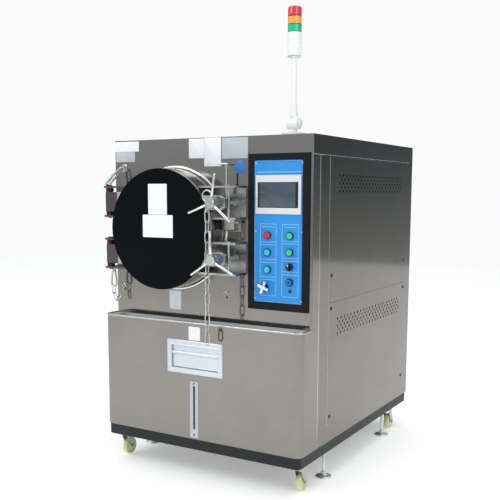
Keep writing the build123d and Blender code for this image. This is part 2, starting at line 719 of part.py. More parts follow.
# Hooks on the front sheet, with the snap hook at the upper left and the short chain at the lower left
hook_z = 768.0
hook_places = {"left": -433.0, "right": 91.0}
hook_radius = 10.0
hook_wire = 3.0
hook_reach = 8.0
hook_collar = 9.0
chain_path = [(-446, -52, 829), (-464, -60, 777), (-448, -50, 710), (-426, -38, 702), (-431, -24, 750)]
with BuildPart() as retaining_chains:
    for x in hook_places.values():
        bar_y(x, hook_z, hook_collar, face - 3, face)
        bar_y(x, hook_z, hook_wire, face - hook_reach, face)
        with BuildLine(Plane.YZ.offset(x)) as bend:
            Line((face - hook_reach, hook_z), (face - hook_reach - 6, hook_z))
            ThreePointArc(
                (face - hook_reach - 6, hook_z),
                (face - hook_reach - 6 - hook_radius, hook_z - hook_radius),
                (face - hook_reach - 6, hook_z - 2 * hook_radius),
            )
        with BuildSketch(facing(face - hook_reach)):
            with Locations((x, hook_z)):
                Circle(hook_wire)
        sweep(path=bend.line)
    block((-434, -406), (face - 3, face), (1260, 1290))
    link((-420, face - 13, 1275), (0, 1, 0), (1, 0, 0), length=20, width=24, wire=5)
    start, end = Vector(-420, face - 18, 1276), Vector(-456, face - 80, 1202)
    link((start + end) / 2, end - start, (1, 0, -0.49), length=(end - start).length, width=30, wire=6)
    low = clamp_heights["lower"] - bracket_height / 2
    link((-446, face - 52, low - 9), (0, 0, 1), (0, 1, 0), length=18, width=20, wire=4)
    curve = Spline(*[(x, face + y, z) for x, y, z in chain_path], mode=Mode.PRIVATE)
    steps = round(curve.length / 32.0)
    joints = [curve @ (index / steps) for index in range(steps + 1)]
    for index, (start, end) in enumerate(zip(joints, joints[1:])):
        along = end - start
        side = along.cross(Vector(0, 1, 0)) if index % 2 else along.cross(Vector(1, 0, 0))
        link((start + end) / 2, along, side, length=along.length + 9, width=20, wire=4.5)
retaining_chains.part.label = "retaining_chains"
export_step(retaining_chains.part, "parts/retaining_chains.step")

# Control frame: heavy rim with a rebate on the back that holds the blue control plate
rebate_x = (frame_left + frame_side - plate_overlap, frame_right - frame_side + plate_overlap)
rebate_z = (frame_low + frame_base - plate_overlap, frame_high - frame_cap + plate_overlap)
frame_front = face - frame_proud
with BuildPart() as control_frame:
    block((frame_left, frame_right), (frame_front, face), (frame_low, frame_high))
    chamfer(control_frame.faces().sort_by(Axis.Y)[0].edges(), 3.0)
    block(
        (frame_left + frame_side, frame_right - frame_side), (frame_front, face),
        (frame_low + frame_base, frame_high - frame_cap), mode=Mode.SUBTRACT,
    )
    block(rebate_x, (face - plate_thickness, face), rebate_z, mode=Mode.SUBTRACT)
control_frame.part.label = "control_frame"
export_step(control_frame.part, "parts/control_frame.step")

# Operator screen and the controls on the plate
hmi_x, hmi_z = (frame_left + 34, frame_right - 34), (frame_high - 231, frame_high - 82)
hmi_border = 9.0
screen_x, screen_z = (hmi_x[0] + 10, hmi_x[1] - 11), (hmi_z[0] + 24, hmi_z[1] - 27)
hmi_front = face - 10.0
hmi_depth = 36.0
screen_inset = 0.8
screen_thickness = 1.2
left_column, right_column = frame_left + 86.5, frame_right - 81.5
button_places = {
    "red": (left_column, frame_low + 291),
    "blue_upper": (left_column, frame_low + 225),
    "blue_lower": (left_column, frame_low + 158),
    "green_upper": (right_column, frame_low + 291),
    "green_lower": (right_column, frame_low + 228),
}
selector_place = (right_column, frame_low + 172)
key_place = (right_column, frame_low + 113)
valve_place = (left_column - 11.5, frame_low + 88)
turn_places = [selector_place, key_place, valve_place]
plate_front = face - plate_thickness
barrel_radius = 11.0
barrel_depth = 18.0
stem_hole = 5.0
ring_outer, ring_inner = 15.0, 12.5
ring_front = face - 11.0
ring_floor = 1.0
cap_front = face - 13.0
press_travel = 3.0
cap_radius = ring_inner - 0.2
all_places = [*button_places.values(), *turn_places]
with BuildPart() as control_plate:
    block(rebate_x, (plate_front, face), rebate_z)
    block(
        (hmi_x[0] + hmi_border, hmi_x[1] - hmi_border), (plate_front, face),
        (hmi_z[0] + hmi_border, hmi_z[1] - hmi_border), mode=Mode.SUBTRACT,
    )
    for x, z in all_places:
        bar_y(x, z, barrel_radius, plate_front, face, mode=Mode.SUBTRACT)
control_plate.part.label = "control_plate"
export_step(control_plate.part, "parts/control_plate.step")

with BuildPart() as hmi_bezel:
    block(hmi_x, (hmi_front, plate_front), hmi_z)
    chamfer(hmi_bezel.faces().sort_by(Axis.Y)[0].edges(), 2.0)
    block(
        (hmi_x[0] + hmi_border, hmi_x[1] - hmi_border), (plate_front, plate_front + hmi_depth),
        (hmi_z[0] + hmi_border, hmi_z[1] - hmi_border),
    )
    block(screen_x, (hmi_front, hmi_front + screen_inset + screen_thickness), screen_z, mode=Mode.SUBTRACT)
hmi_bezel.part.label = "hmi_bezel"
export_step(hmi_bezel.part, "parts/hmi_bezel.step")

with BuildPart() as hmi_screen:
    block(screen_x, (hmi_front + screen_inset, hmi_front + screen_inset + screen_thickness), screen_z)
hmi_screen.part.label = "hmi_screen"
export_step(hmi_screen.part, "parts/hmi_screen.step")

# Rings with barrels that carry the buttons, the selector, the key and the valve, and a pilot light
pilot_place = (right_column + 2.5, frame_low + 79)
with BuildPart() as control_rings:
    for x, z in all_places:
        bar_y(x, z, ring_outer, ring_front, plate_front)
        bar_y(x, z, ring_inner, ring_front, plate_front - ring_floor, mode=Mode.SUBTRACT)
    for x, z in all_places:
        bar_y(x, z, barrel_radius, plate_front, plate_front + barrel_depth)
        bar_y(x, z, stem_hole + running, ring_front, plate_front + barrel_depth, mode=Mode.SUBTRACT)
    bar_y(*pilot_place, 6.0, face - 9.0, plate_front)
control_rings.part.label = "control_rings"
export_step(control_rings.part, "parts/control_rings.step")

cap_back = plate_front - ring_floor - press_travel - sliding
for name, (x, z) in button_places.items():
    with BuildPart() as button:
        bar_y(x, z, cap_radius, cap_front, cap_back)
        chamfer(button.faces().sort_by(Axis.Y)[0].edges(), 1.0)
        bar_y(x, z, stem_hole, cap_back, plate_front + barrel_depth - press_travel)
    button.part.label = f"button_{name}"
    export_step(button.part, f"parts/button_{name}.step")

knob_back = plate_front - ring_floor - sliding
stem_back = plate_front + barrel_depth
with BuildPart() as selector_knob:
    x, z = selector_place
    bar_y(x, z, cap_radius, cap_front, knob_back)
    block((x - 4, x + 4), (cap_front - 10, cap_front), (z - 12, z + 12))
    bar_y(x, z, stem_hole, knob_back, stem_back)
selector_knob.part.label = "selector_knob"
export_step(selector_knob.part, "parts/selector_knob.step")

with BuildPart() as key_barrel:
    x, z = key_place
    bar_y(x, z, cap_radius - 2, cap_front, knob_back)
    block((x - 1, x + 1), (cap_front, cap_front + 3), (z - 4, z + 4), mode=Mode.SUBTRACT)
    bar_y(x, z, stem_hole, knob_back, stem_back)
key_barrel.part.label = "key_barrel"
export_step(key_barrel.part, "parts/key_barrel.step")

valve_reach = 25.0
with BuildPart() as valve_handle:
    x, z = valve_place
    bar_y(x, z, cap_radius - 2, face - 24.0, knob_back)
    for turn in (20, 110):
        with Locations(Location((x, face - 20.0, z), (0, turn, 0))):
            Box(2 * valve_reach, 8.0, 11.0)
    bar_y(x, z, stem_hole, knob_back, stem_back)
valve_handle.part.label = "valve_handle"
export_step(valve_handle.part, "parts/valve_handle.step")

# Water level gauge: slotted strip with end blocks, and the sight glass between them
gauge_half = 20.0
glass_radius = 4.0
glass_y = box_face + 3.0
glass_low, glass_high = gauge_low + 12.0, gauge_high - 4.0
end_height = 18.0
gauge_blocks = [(glass_low, gauge_slot_low - 2), (gauge_slot_high + 2, glass_high)]
with BuildPart() as gauge_frame:
    block((gauge_x - gauge_half, gauge_x + gauge_half), (box_face - 2.5, box_face), (gauge_low, gauge_high))
    block(
        (gauge_x - gauge_slot_width / 2, gauge_x + gauge_slot_width / 2), (box_face - 2.5, box_face),
        (gauge_slot_low, gauge_slot_high), mode=Mode.SUBTRACT,
    )
gauge_frame.part.label = "gauge_frame"
export_step(gauge_frame.part, "parts/gauge_frame.step")

# Filler: a lined frame in the lower front, with a flap that swings out at the top
liner_x = (filler_x - filler_inner_width / 2, filler_x + filler_inner_width / 2)
liner_z = (filler_z - filler_inner_height / 2, filler_z + filler_inner_height / 2)
flap_y = box_face + 7.0
flap_z = liner_z[0] + 4.0
flap_thickness = 3.0
flap_gap = 1.5
flap_pin = 1.5
flap_roll = 8.0  # rolled edge that the fingers pull
with BuildPart() as filler_frame:
    block((filler_left, filler_right), (box_face - filler_proud, box_face), (filler_low, filler_high))
    chamfer(filler_frame.faces().sort_by(Axis.Y)[0].edges(), 1.5)
    block(
        (liner_x[0] - filler_wall, liner_x[1] + filler_wall), (box_face, box_face + filler_depth),
        (liner_z[0] - filler_wall, liner_z[1] + filler_wall),
    )
    block(liner_x, (box_face - filler_proud, box_face + filler_depth), liner_z, mode=Mode.SUBTRACT)
    bar_x(flap_y, flap_z, flap_pin + running, filler_left, filler_right, mode=Mode.SUBTRACT)
filler_frame.part.label = "filler_frame"
export_step(filler_frame.part, "parts/filler_frame.step")

with BuildPart() as filler_flap:
    flap_x = (liner_x[0] + flap_gap, liner_x[1] - flap_gap)
    block(flap_x, (flap_y - flap_thickness / 2, flap_y + flap_thickness / 2), (flap_z, liner_z[1] - flap_gap))
    bar_x(flap_y, flap_z, 3.0, flap_x[0], flap_x[1])
    bar_x(flap_y, flap_z, flap_pin, liner_x[0] - filler_wall, liner_x[1] + filler_wall)
    bar_x(flap_y - flap_thickness / 2, filler_high - 54, flap_roll, flap_x[0], flap_x[1])
filler_flap.part.label = "filler_flap"
export_step(filler_flap.part, "parts/filler_flap.step")

# Water tank behind the flap, with its mouth on the front
tank_wall = 2.0
tank_low, tank_high = 300.0, filler_high
tank_y = (box_face + filler_depth, face)
with BuildPart() as water_tank:
    block((filler_left, filler_right), tank_y, (tank_low, tank_high))
    block(
        (filler_left + tank_wall, filler_right - tank_wall), (tank_y[0] + tank_wall, tank_y[1] - tank_wall),
        (tank_low + tank_wall, tank_high - tank_wall), mode=Mode.SUBTRACT,
    )
    block(liner_x, (tank_y[0], tank_y[0] + tank_wall), (liner_z[0] + 12, liner_z[1]), mode=Mode.SUBTRACT)
water_tank.part.label = "water_tank"
export_step(water_tank.part, "parts/water_tank.step")

# Signal tower: a foot with half of the fold barrel and its pin
fold_z = cabinet_top + knuckle_rise
foot_plate = 8.0
barrel_round = 23.0
barrel_left = tower_x - 24.0
barrel_right = tower_x + 22.0
fold_gap = 0.15
neck_radius = 13.5
with BuildPart() as tower_foot:
    bar_z(tower_x, tower_y, tower_radius + 19, cabinet_top, cabinet_top + foot_plate)
    bar_z(tower_x, tower_y, neck_radius, cabinet_top + foot_plate, fold_z - barrel_round - sliding)
    block(
        (tower_x - neck_radius, tower_x - fold_gap), (tower_y - 10, tower_y + 10),
        (cabinet_top + foot_plate, fold_z),
    )
    bar_x(tower_y, fold_z, barrel_round, barrel_left, tower_x - fold_gap)
    bar_x(tower_y, fold_z, 6.0, tower_x - fold_gap, tower_x + 31)
    bar_x(tower_y, fold_z, 14.0, barrel_right + sliding, tower_x + 31)
tower_foot.part.label = "tower_foot"
export_step(tower_foot.part, "parts/tower_foot.step")

collar_top = 1503.5
tower_top = 1865.0
body_top = pole_top + tower_body_height
with BuildPart() as tower_mast:
    bar_x(tower_y, fold_z, barrel_round, tower_x + fold_gap, barrel_right)
    block((tower_x + fold_gap, tower_x + neck_radius), (tower_y - 10, tower_y + 10), (fold_z, fold_z + 40))
    bar_x(tower_y, fold_z, 6.0 + running, tower_x, barrel_right, mode=Mode.SUBTRACT)
    bar_z(tower_x, tower_y, neck_radius, fold_z + barrel_round + sliding, collar_top)
    bar_z(tower_x, tower_y, pole_radius, collar_top, pole_top)
    bar_z(tower_x, tower_y, tower_radius, pole_top, body_top)
    fillet(tower_mast.edges().filter_by(GeomType.CIRCLE).group_by(Axis.Z)[-2].sort_by(SortBy.RADIUS)[-1], 10.0)
tower_mast.part.label = "tower_mast"
export_step(tower_mast.part, "parts/tower_mast.step")

for index, colour in enumerate(("green", "amber", "red")):
    low = body_top + index * lens_height
    with BuildPart() as lens:
        bar_z(tower_x, tower_y, tower_radius, low, low + lens_height)
        if index == lens_count - 1:
            bar_z(tower_x, tower_y, tower_radius, low + lens_height, tower_top)
            chamfer(lens.faces().sort_by(Axis.Z)[-1].edges(), 5.0)
    lens.part.label = f"lens_{colour}"
    export_step(lens.part, f"parts/lens_{colour}.step")

# Casters: a forked swivel with its kingpin and axle, and a wheel
crown_top = plinth_bottom - 0.5
crown_bottom = 112.0
leg_thickness = 3.0
leg_inner = wheel_width / 2 + 2.0
wheel_z = wheel_radius + wheel_lift
for place, (x, y) in zip(place_names, caster_places):
    with BuildPart() as fork:
        bar_z(x, y, 24.0, crown_bottom, crown_top)
        bar_z(x, y, kingpin_radius, crown_top, stem_top)
        for low in (x - leg_inner - leg_thickness, x + leg_inner):
            with BuildSketch(Plane.YZ.offset(low)) as leg:
                with BuildLine():
                    Polyline(
                        (y - 16, crown_bottom), (y + 22, crown_bottom), (y + caster_trail + 10, wheel_z),
                        (y + caster_trail, wheel_z - 10), (y + caster_trail - 10, wheel_z), (y - 16, crown_bottom),
                    )
                make_face()
            extrude(leg.sketch, amount=leg_thickness)
        bar_x(y + caster_trail, wheel_z, axle_radius, x - leg_inner, x + leg_inner)
    fork.part.label = f"caster_fork_{place}"
    export_step(fork.part, f"parts/caster_fork_{place}.step")
    with BuildPart() as wheel:
        bar_x(y + caster_trail, wheel_z, wheel_radius, x - wheel_width / 2, x + wheel_width / 2)
        chamfer(wheel.edges().filter_by(GeomType.CIRCLE), 3.0)
        bar_x(y + caster_trail, wheel_z, axle_radius + running, x - leg_inner, x + leg_inner, mode=Mode.SUBTRACT)
    wheel.part.label = f"caster_wheel_{place}"
    export_step(wheel.part, f"parts/caster_wheel_{place}.step")

# Levelling feet, which carry the weight
for place, (x, y) in zip(place_names, foot_places):
    with BuildPart() as foot:
        bar_z(x, y, foot_radius, 0.0, 8.0)
        with Locations((x, y, 12.0)):
            Cone(foot_radius - 8.0, 12.0, 8.0)
        with BuildSketch(Plane.XY.offset(16.0)) as spanner_flats:
            with Locations((x, y)):
                RegularPolygon(11.0, 6)
        extrude(spanner_flats.sketch, amount=9.0)
        bar_z(x, y, stem_radius, 25.0, stem_top)
    foot.part.label = f"foot_{place}"
    export_step(foot.part, f"parts/foot_{place}.step")
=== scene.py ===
from math import cos, pi, radians, sin

import bmesh
import bpy
from mathutils import Euler, Matrix, Vector


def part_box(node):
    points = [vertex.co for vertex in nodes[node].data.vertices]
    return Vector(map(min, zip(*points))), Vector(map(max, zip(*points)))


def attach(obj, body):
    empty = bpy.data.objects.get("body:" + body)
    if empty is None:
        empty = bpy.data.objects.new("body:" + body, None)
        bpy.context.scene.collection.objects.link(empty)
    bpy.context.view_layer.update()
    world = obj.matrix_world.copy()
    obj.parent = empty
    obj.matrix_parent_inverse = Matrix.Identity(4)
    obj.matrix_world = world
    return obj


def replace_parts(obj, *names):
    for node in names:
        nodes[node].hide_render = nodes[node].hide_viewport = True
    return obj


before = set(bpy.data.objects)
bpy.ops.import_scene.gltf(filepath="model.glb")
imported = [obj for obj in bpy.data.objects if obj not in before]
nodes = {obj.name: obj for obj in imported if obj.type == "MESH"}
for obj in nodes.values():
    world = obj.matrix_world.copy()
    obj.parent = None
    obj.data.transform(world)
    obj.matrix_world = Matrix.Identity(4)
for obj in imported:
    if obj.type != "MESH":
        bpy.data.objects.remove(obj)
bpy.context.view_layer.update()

# Places repeated from the chamber's drawing, in metres
FACE = -0.4825  # upper front sheet
BOX_FACE = FACE - 0.085  # lower front cover
CLAMP_X = 0.129
CLAMP_HEIGHTS = {"upper": 1.133, "lower": 0.915}
STAR_ANGLES = {"upper": 81.0, "lower": 93.0}
TOWER = Vector((0.360, FACE + 0.060, 0))
RIGHT, BACK, UP, FRONT = (1, 0, 0), (0, 1, 0), (0, 0, 1), (0, -1, 0)
PLACES = ["front_left", "front_right", "rear_left", "rear_right"]


# Meshes

def mm(*values):
    """Millimetres to metres."""
    return Vector(values) * 0.001


def from_face(x, y, z):
    """Point given in millimetres, its depth counted from the upper front sheet."""
    return mm(x, y, z) + Vector((0, FACE, 0))


def piece(name, mesh, looks, body, smooth=True):
    """Turns a bmesh into an object that rides on a body."""
    data = bpy.data.meshes.new(name)
    mesh.to_mesh(data)
    mesh.free()
    thing = bpy.data.objects.new(name, data)
    bpy.context.scene.collection.objects.link(thing)
    for look in looks if isinstance(looks, list) else [looks]:
        data.materials.append(look)
    if smooth:
        data.shade_smooth()
        data.set_sharp_from_angle(angle=radians(35))
    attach(thing, body)
    return thing


def brick(mesh, low, high, radius=0.0, segments=2, look=0):
    """Box between two corners, with its edges rounded."""
    low, high = Vector(low), Vector(high)
    made = bmesh.ops.create_cube(mesh, size=1.0)["verts"]
    bmesh.ops.scale(mesh, vec=high - low, verts=made)
    bmesh.ops.translate(mesh, vec=(low + high) / 2, verts=made)
    faces = {face for vert in made for face in vert.link_faces}
    if radius:
        edges = list({edge for vert in made for edge in vert.link_edges})
        out = bmesh.ops.bevel(
            mesh, geom=edges, offset=radius, segments=segments, affect="EDGES", profile=0.5, material=-1,
        )
        faces |= set(out["faces"])
    for face in faces:
        if face.is_valid:
            face.material_index = look
    return faces


def turned(mesh, profile, place, direction, steps=32, look=0):
    """Spins a profile of (radius, distance along) about an axis, closed at both ends."""
    start = [mesh.verts.new((radius, 0, along)) for radius, along in profile]
    edges = [mesh.edges.new(pair) for pair in zip(start, start[1:])]
    made = bmesh.ops.spin(
        mesh, geom=start + edges, cent=(0, 0, 0), axis=(0, 0, 1), angle=2 * pi, steps=steps, use_merge=True,
    )
    verts = list(set(start) | grown(start))
    bmesh.ops.remove_doubles(mesh, verts=verts, dist=1e-7)
    verts = list(grown([v for v in start if v.is_valid]))
    turn = Vector((0, 0, 1)).rotation_difference(Vector(direction)).to_matrix().to_4x4()
    bmesh.ops.transform(mesh, matrix=Matrix.Translation(Vector(place)) @ turn, verts=verts)
    faces = list({face for vert in verts for face in vert.link_faces})
    bmesh.ops.recalc_face_normals(mesh, faces=faces)
    for face in faces:
        face.material_index = look
    return faces


def grown(seeds):
    """Every vertex joined to the seeds by edges."""
    found, queue = set(seeds), list(seeds)
    while queue:
        for edge in queue.pop().link_edges:
            for vert in edge.verts:
                if vert not in found:
                    found.add(vert)
                    queue.append(vert)
    return found


def rod(mesh, start, end, radius, steps=16, dome=0.0, look=0):
    """Round bar from one point to another, with softened ends."""
    start, end = Vector(start), Vector(end)
    length = (end - start).length
    ease = dome or radius * 0.15
    profile = [
        (0, 0), (radius - ease, 0), (radius - ease * 0.3, ease * 0.3), (radius, ease),
        (radius, length - ease), (radius - ease * 0.3, length - ease * 0.3), (
            radius - ease, length,
        ), (0, length),
    ]
    return turned(mesh, profile, start, (end - start).normalized(), steps, look)


def tube(mesh, path, radius, steps=10, closed=False, look=0):
    """Round bar along a chain of points, capped unless it closes on itself."""
    path = [Vector(point) for point in path]
    normal, loops = None, []
    for index, point in enumerate(path):
        before = path[index - 1] if closed or index else point
        after = path[(index + 1) % len(path)] if closed or index < len(path) - 1 else point
        along = (after - before).normalized()
        normal = normal or along.orthogonal()
        normal = (normal - along * normal.dot(along)).normalized()
        across = along.cross(normal)
        turns = [2 * pi * k / steps for k in range(steps)]
        loops.append([mesh.verts.new(point + radius * (cos(a) * normal + sin(a) * across)) for a in turns])
    pairs = list(zip(loops, loops[1:])) + ([(loops[-1], loops[0])] if closed else [])
    faces = [
        mesh.faces.new((low[k], low[(k + 1) % steps], high[(k + 1) % steps], high[k]))
        for low, high in pairs for k in range(steps)
    ]
    if not closed:
        faces += [mesh.faces.new(loops[0][::-1]), mesh.faces.new(loops[-1])]
    bmesh.ops.recalc_face_normals(mesh, faces=faces)
    for face in faces:
        face.material_index = look
    return faces


def arc(centre, radius, start, end, across, up, steps=8):
    """Points of an arc from one angle to another, in degrees."""
    angles = [radians(start + (end - start) * k / steps) for k in range(steps + 1)]
    across, up = Vector(across).normalized(), Vector(up).normalized()
    return [Vector(centre) + radius * (cos(a) * across + sin(a) * up) for a in angles]


def chain_link(mesh, centre, along, normal, length, width, wire, steps=8, look=0):
    """Welded link of round wire, long side along one direction, lying square to the normal."""
    along = Vector(along).normalized()
    across = Vector(normal).cross(along).normalized()
    bend = (width - wire) / 2
    reach = along * (length / 2 - width / 2)
    path = arc(Vector(centre) + reach, bend, -90, 90, along, across, steps)
    path += arc(Vector(centre) - reach, bend, 90, 270, along, across, steps)
    tube(mesh, path, wire / 2, 8, True, look)


def ring(mesh, place, direction, radius, wire, steps=28, look=0):
    """Round wire ring."""
    first = Vector(direction).orthogonal()
    path = arc(place, radius, 0, 360, first, Vector(direction).cross(first), steps)[:-1]
    tube(mesh, path, wire, 8, True, look)


def smooth_curve(knots, steps):
    """Points of a curve that runs smoothly through its knots."""
    curve, last = [], len(knots) - 1
    for index in range(last):
        before, start, end, after = (knots[max(0, min(last, index + step))] for step in (-1, 0, 1, 2))
        for t in [step / steps for step in range(steps)]:
            first, second = end - before, 2 * before - 5 * start + 4 * end - after
            third = 3 * start - before - 3 * end + after
            curve.append(start + 0.5 * (t * first + t * t * second + t * t * t * third))
    return curve + [knots[-1]]


def spaced(curve, pitch):
    """Points of a curve that lie at least one pitch apart."""
    kept, walked = [curve[0]], 0.0
    for start, end in zip(curve, curve[1:]):
        walked += (end - start).length
        if walked >= pitch:
            kept.append(end)
            walked = 0.0
    return kept


def rounded(x, z, corner, depth):
    """Points round a rectangle with round corners, at one depth."""
    path = []
    for (x_at, z_at), start in zip(
        ((x[1], z[1]), (x[0], z[1]), (x[0], z[0]), (x[1], z[0])), (0, 90, 180, 270),
    ):
        inset = corner * (1 if start in (90, 180) else -1), corner * (1 if start in (180, 270) else -1)
        path += arc(
            (x_at + inset[0], depth, z_at + inset[1]), corner, start, start + 90, (1, 0, 0), (0, 0, 1), 4,
        )
    return path


def plate(name, x, z, front, thick, look, body, corner=0.003):
    """Thin plate with round corners, flat against something that faces forward."""
    mesh = bmesh.new()
    made = bmesh.ops.create_grid(mesh, x_segments=1, y_segments=1, size=0.5)["verts"]
    bmesh.ops.scale(mesh, vec=(x[1] - x[0], z[1] - z[0], 1), verts=made)
    bmesh.ops.bevel(
        mesh, geom=made, offset=corner, segments=4, affect="VERTICES", profile=0.5, material=-1,
    )
    lift = bmesh.ops.extrude_face_region(mesh, geom=mesh.faces[:])["geom"]
    top = [item for item in lift if isinstance(item, bmesh.types.BMVert)]
    bmesh.ops.translate(mesh, vec=(0, 0, thick), verts=top)
    face = next(item for item in lift if isinstance(item, bmesh.types.BMFace))
    bmesh.ops.bevel(
        mesh, geom=list(face.edges), offset=thick * 0.3, segments=2, affect="EDGES", profile=0.5, material=-1,
    )
    bmesh.ops.recalc_face_normals(mesh, faces=mesh.faces[:])
    stand = Matrix.Translation(
        ((x[0] + x[1]) / 2, front + thick, (z[0] + z[1]) / 2)
    ) @ Matrix.Rotation(pi / 2, 4, "X")
    bmesh.ops.transform(mesh, matrix=stand, verts=mesh.verts[:])
    return piece(name, mesh, look, body)


# Materials

def linear(code, alpha=1.0):
    """Hex sRGB colour to the linear values that a shader takes."""
    parts = [int(code[i:i + 2], 16) / 255 for i in (1, 3, 5)]
    return (*[p / 12.92 if p <= 0.04045 else ((p + 0.055) / 1.055) ** 2.4 for p in parts], alpha)


def add(tree, kind, inputs=None, **settings):
    """Adds a node, its settings, and what its sockets hold or are fed by."""
    node = tree.nodes.new(kind)
    for key, value in settings.items():
        setattr(node, key, value)
    for key, value in (inputs or {}).items():
        socket = node.inputs[key]
        if isinstance(value, bpy.types.NodeSocket):
            tree.links.new(value, socket)
        else:
            socket.default_value = value
    return node


def finish(name, low, high, grain, rough, bump=0.0, stretch=(1, 1, 1), blotch=0.4, **sockets):
    """Material with a fine grain and broad blotches in its colour, sheen and relief.

    low and high are the darkest and lightest colour, grain is the size of the fine pattern in
    millimetres, rough is the least and most roughness, and blotch the share of broad variation.
    """
    look = bpy.data.materials.new(name)
    look.use_nodes = True
    tree = look.node_tree
    shader = tree.nodes["Principled BSDF"]
    for key, value in sockets.items():
        shader.inputs[key.replace("_", " ")].default_value = value
    place = add(tree, "ShaderNodeTexCoord").outputs["Object"]
    mapped = add(tree, "ShaderNodeMapping", {"Vector": place, "Scale": stretch}).outputs["Vector"]
    fine = add(
        tree, "ShaderNodeTexNoise",
        {"Vector": mapped, "Scale": 1000 / grain, "Detail": 3.0, "Roughness": 0.6},
    )
    broad = add(
        tree, "ShaderNodeTexNoise", {"Vector": place, "Scale": 4.0, "Detail": 4.0, "Roughness": 0.55},
    )
    mixed = add(
        tree, "ShaderNodeMix", {"Factor": blotch, "A": fine.outputs["Fac"], "B": broad.outputs["Fac"]},
    )
    ramp = add(tree, "ShaderNodeValToRGB", {"Fac": mixed.outputs["Result"]})
    ramp.color_ramp.elements[0].position, ramp.color_ramp.elements[1].position = 0.35, 0.65
    ramp.color_ramp.elements[0].color, ramp.color_ramp.elements[1].color = linear(low), linear(high)
    tree.links.new(ramp.outputs["Color"], shader.inputs["Base Color"])
    sheen = add(tree, "ShaderNodeMapRange", {
        "Value": mixed.outputs["Result"], "From Min": 0.35, "From Max": 0.65,
        "To Min": rough[0], "To Max": rough[1],
    })
    tree.links.new(sheen.outputs["Result"], shader.inputs["Roughness"])
    if bump:
        relief = add(
            tree, "ShaderNodeBump", {"Height": fine.outputs["Fac"], "Strength": 0.6, "Distance": bump},
        )
        tree.links.new(relief.outputs["Normal"], shader.inputs["Normal"])
    return look


# Stainless sheet, brushed along its length and nearly mirror-bright: soft upright reflections
STAINLESS = finish(
    "stainless_sheet", "#827f7b", "#8c8984", 0.9, (0.07, 0.12), 0.000006, (0.02, 0.02, 1), 0.5,
    Metallic=1.0,
)
# The same steel with the coarser grain of turned parts
TURNED_STEEL = finish(
    "turned_steel", "#8f8f8e", "#a9a8a5", 1.2, (0.12, 0.22), 0.00001, (1, 0.1, 1), 0.3, Metallic=1.0,
)
# The side walls mirror the darker side of the hall; their colour is also a little darker than the front
# sheet's: painted shade
SHADED_SIDE_STEEL = finish(
    "side_sheet_painted_shade", "#787570", "#827f79", 0.9, (0.07, 0.12), 0.000006, (0.02, 0.02, 1), 0.5, Metallic=1.0,
)
# Satin aluminium of the filler
ALUMINIUM = finish(
    "satin_aluminium", "#c2c9d0", "#d8dee4", 2.0, (0.28, 0.4), 0.00002, (0.1, 1, 1), 0.4, Metallic=0.6,
)
# Polished stainless: trim ring, bright edges and small screws
POLISHED = finish("polished_steel", "#d6d6d4", "#e4e3e0", 3.0, (0.06, 0.14), Metallic=1.0)
# Bright zinc plate on turned and cut steel, a little cloudy
ZINC = finish("zinc_plate", "#a8a9a8", "#cfcfca", 4.0, (0.22, 0.4), 0.00003, (1, 1, 1), 0.5, Metallic=1.0)
# The same plate on the door's weldment
DOOR_STEEL = finish(
    "door_steel", "#a8a9a8", "#cfcfca", 4.0, (0.22, 0.4), 0.00003, (1, 1, 1), 0.5, Metallic=1.0,
)
# Chrome on the star handles' bars
CHROME = finish("chrome_plate", "#dcdcdc", "#ececec", 5.0, (0.05, 0.12), Metallic=1.0)
# Semi-gloss black enamel: plinth, with the faint orange peel of spray paint
BLACK_ENAMEL = finish(
    "black_enamel", "#15191b", "#1b1f22", 3.0, (0.4, 0.5), 0.00004, Specular_IOR_Level=0.3,
)
# Satin black door cover
DOOR_BLACK = finish("door_black", "#05080a", "#090c0f", 2.5, (0.3, 0.4), 0.00003, Specular_IOR_Level=0.05)
# Grey enamel of the inner frame
FRAME_GREY = finish("frame_grey", "#3a3c3e", "#484a4c", 3.0, (0.45, 0.6), 0.00004)
# Black powder coat on the control frame
FRAME_BLACK = finish(
    "frame_black", "#090d11", "#0f1419", 1.6, (0.35, 0.5), 0.00005, Specular_IOR_Level=0.18,
)
# Dark blue rings of the buttons: painted shade round the buttons, with a painted reflection of the blue plate
RING_PAINTED_SHADE = finish("button_ring_painted_shade", "#22384a", "#2c4458", 1.5, (0.25, 0.35), Metallic=0.6)
# Dark gaps, slots and seams
SEAM_DARK = finish("seam_dark", "#101315", "#181b1e", 2.0, (0.6, 0.7))
# Blue screen-printed aluminium control plate
PLATE_BLUE = finish("plate_blue", "#1a84d0", "#2290dc", 2.0, (0.35, 0.45), 0.00001)
# Light print on the plate, also used for the painted highlight round the plate's edge
PRINT_AND_HIGHLIGHT_WHITE = finish("print_and_painted_highlight", "#a8d8fa", "#b8e2ff", 2.0, (0.4, 0.5))
# Moulded ABS of the operator screen
ABS_GREY = finish("abs_grey", "#ced1d3", "#d8dadc", 0.8, (0.4, 0.5), 0.00003)
BLACK_PLASTIC = finish("black_plastic", "#15181a", "#1e2124", 1.0, (0.4, 0.55), 0.00004)
WHITE_PLASTIC = finish("white_plastic", "#e4e5e4", "#eeefee", 1.5, (0.3, 0.4), 0.00001)
# Screen glass over a dark, unlit display
SCREEN = finish("screen_glass", "#3a4856", "#43525f", 60.0, (0.08, 0.12))
SCREEN_EDGE = finish("screen_edge", "#11161b", "#161c21", 20.0, (0.15, 0.2))
RED_CAP = finish("red_cap", "#b81f33", "#d0283c", 1.5, (0.2, 0.3), Coat_Weight=0.4)
TEAL_CAP = finish("teal_cap", "#12b6c8", "#1fd0dc", 1.5, (0.2, 0.3), Coat_Weight=0.4)
GREEN_CAP = finish("green_cap", "#2bb287", "#3cc79a", 1.5, (0.2, 0.3), Coat_Weight=0.4)
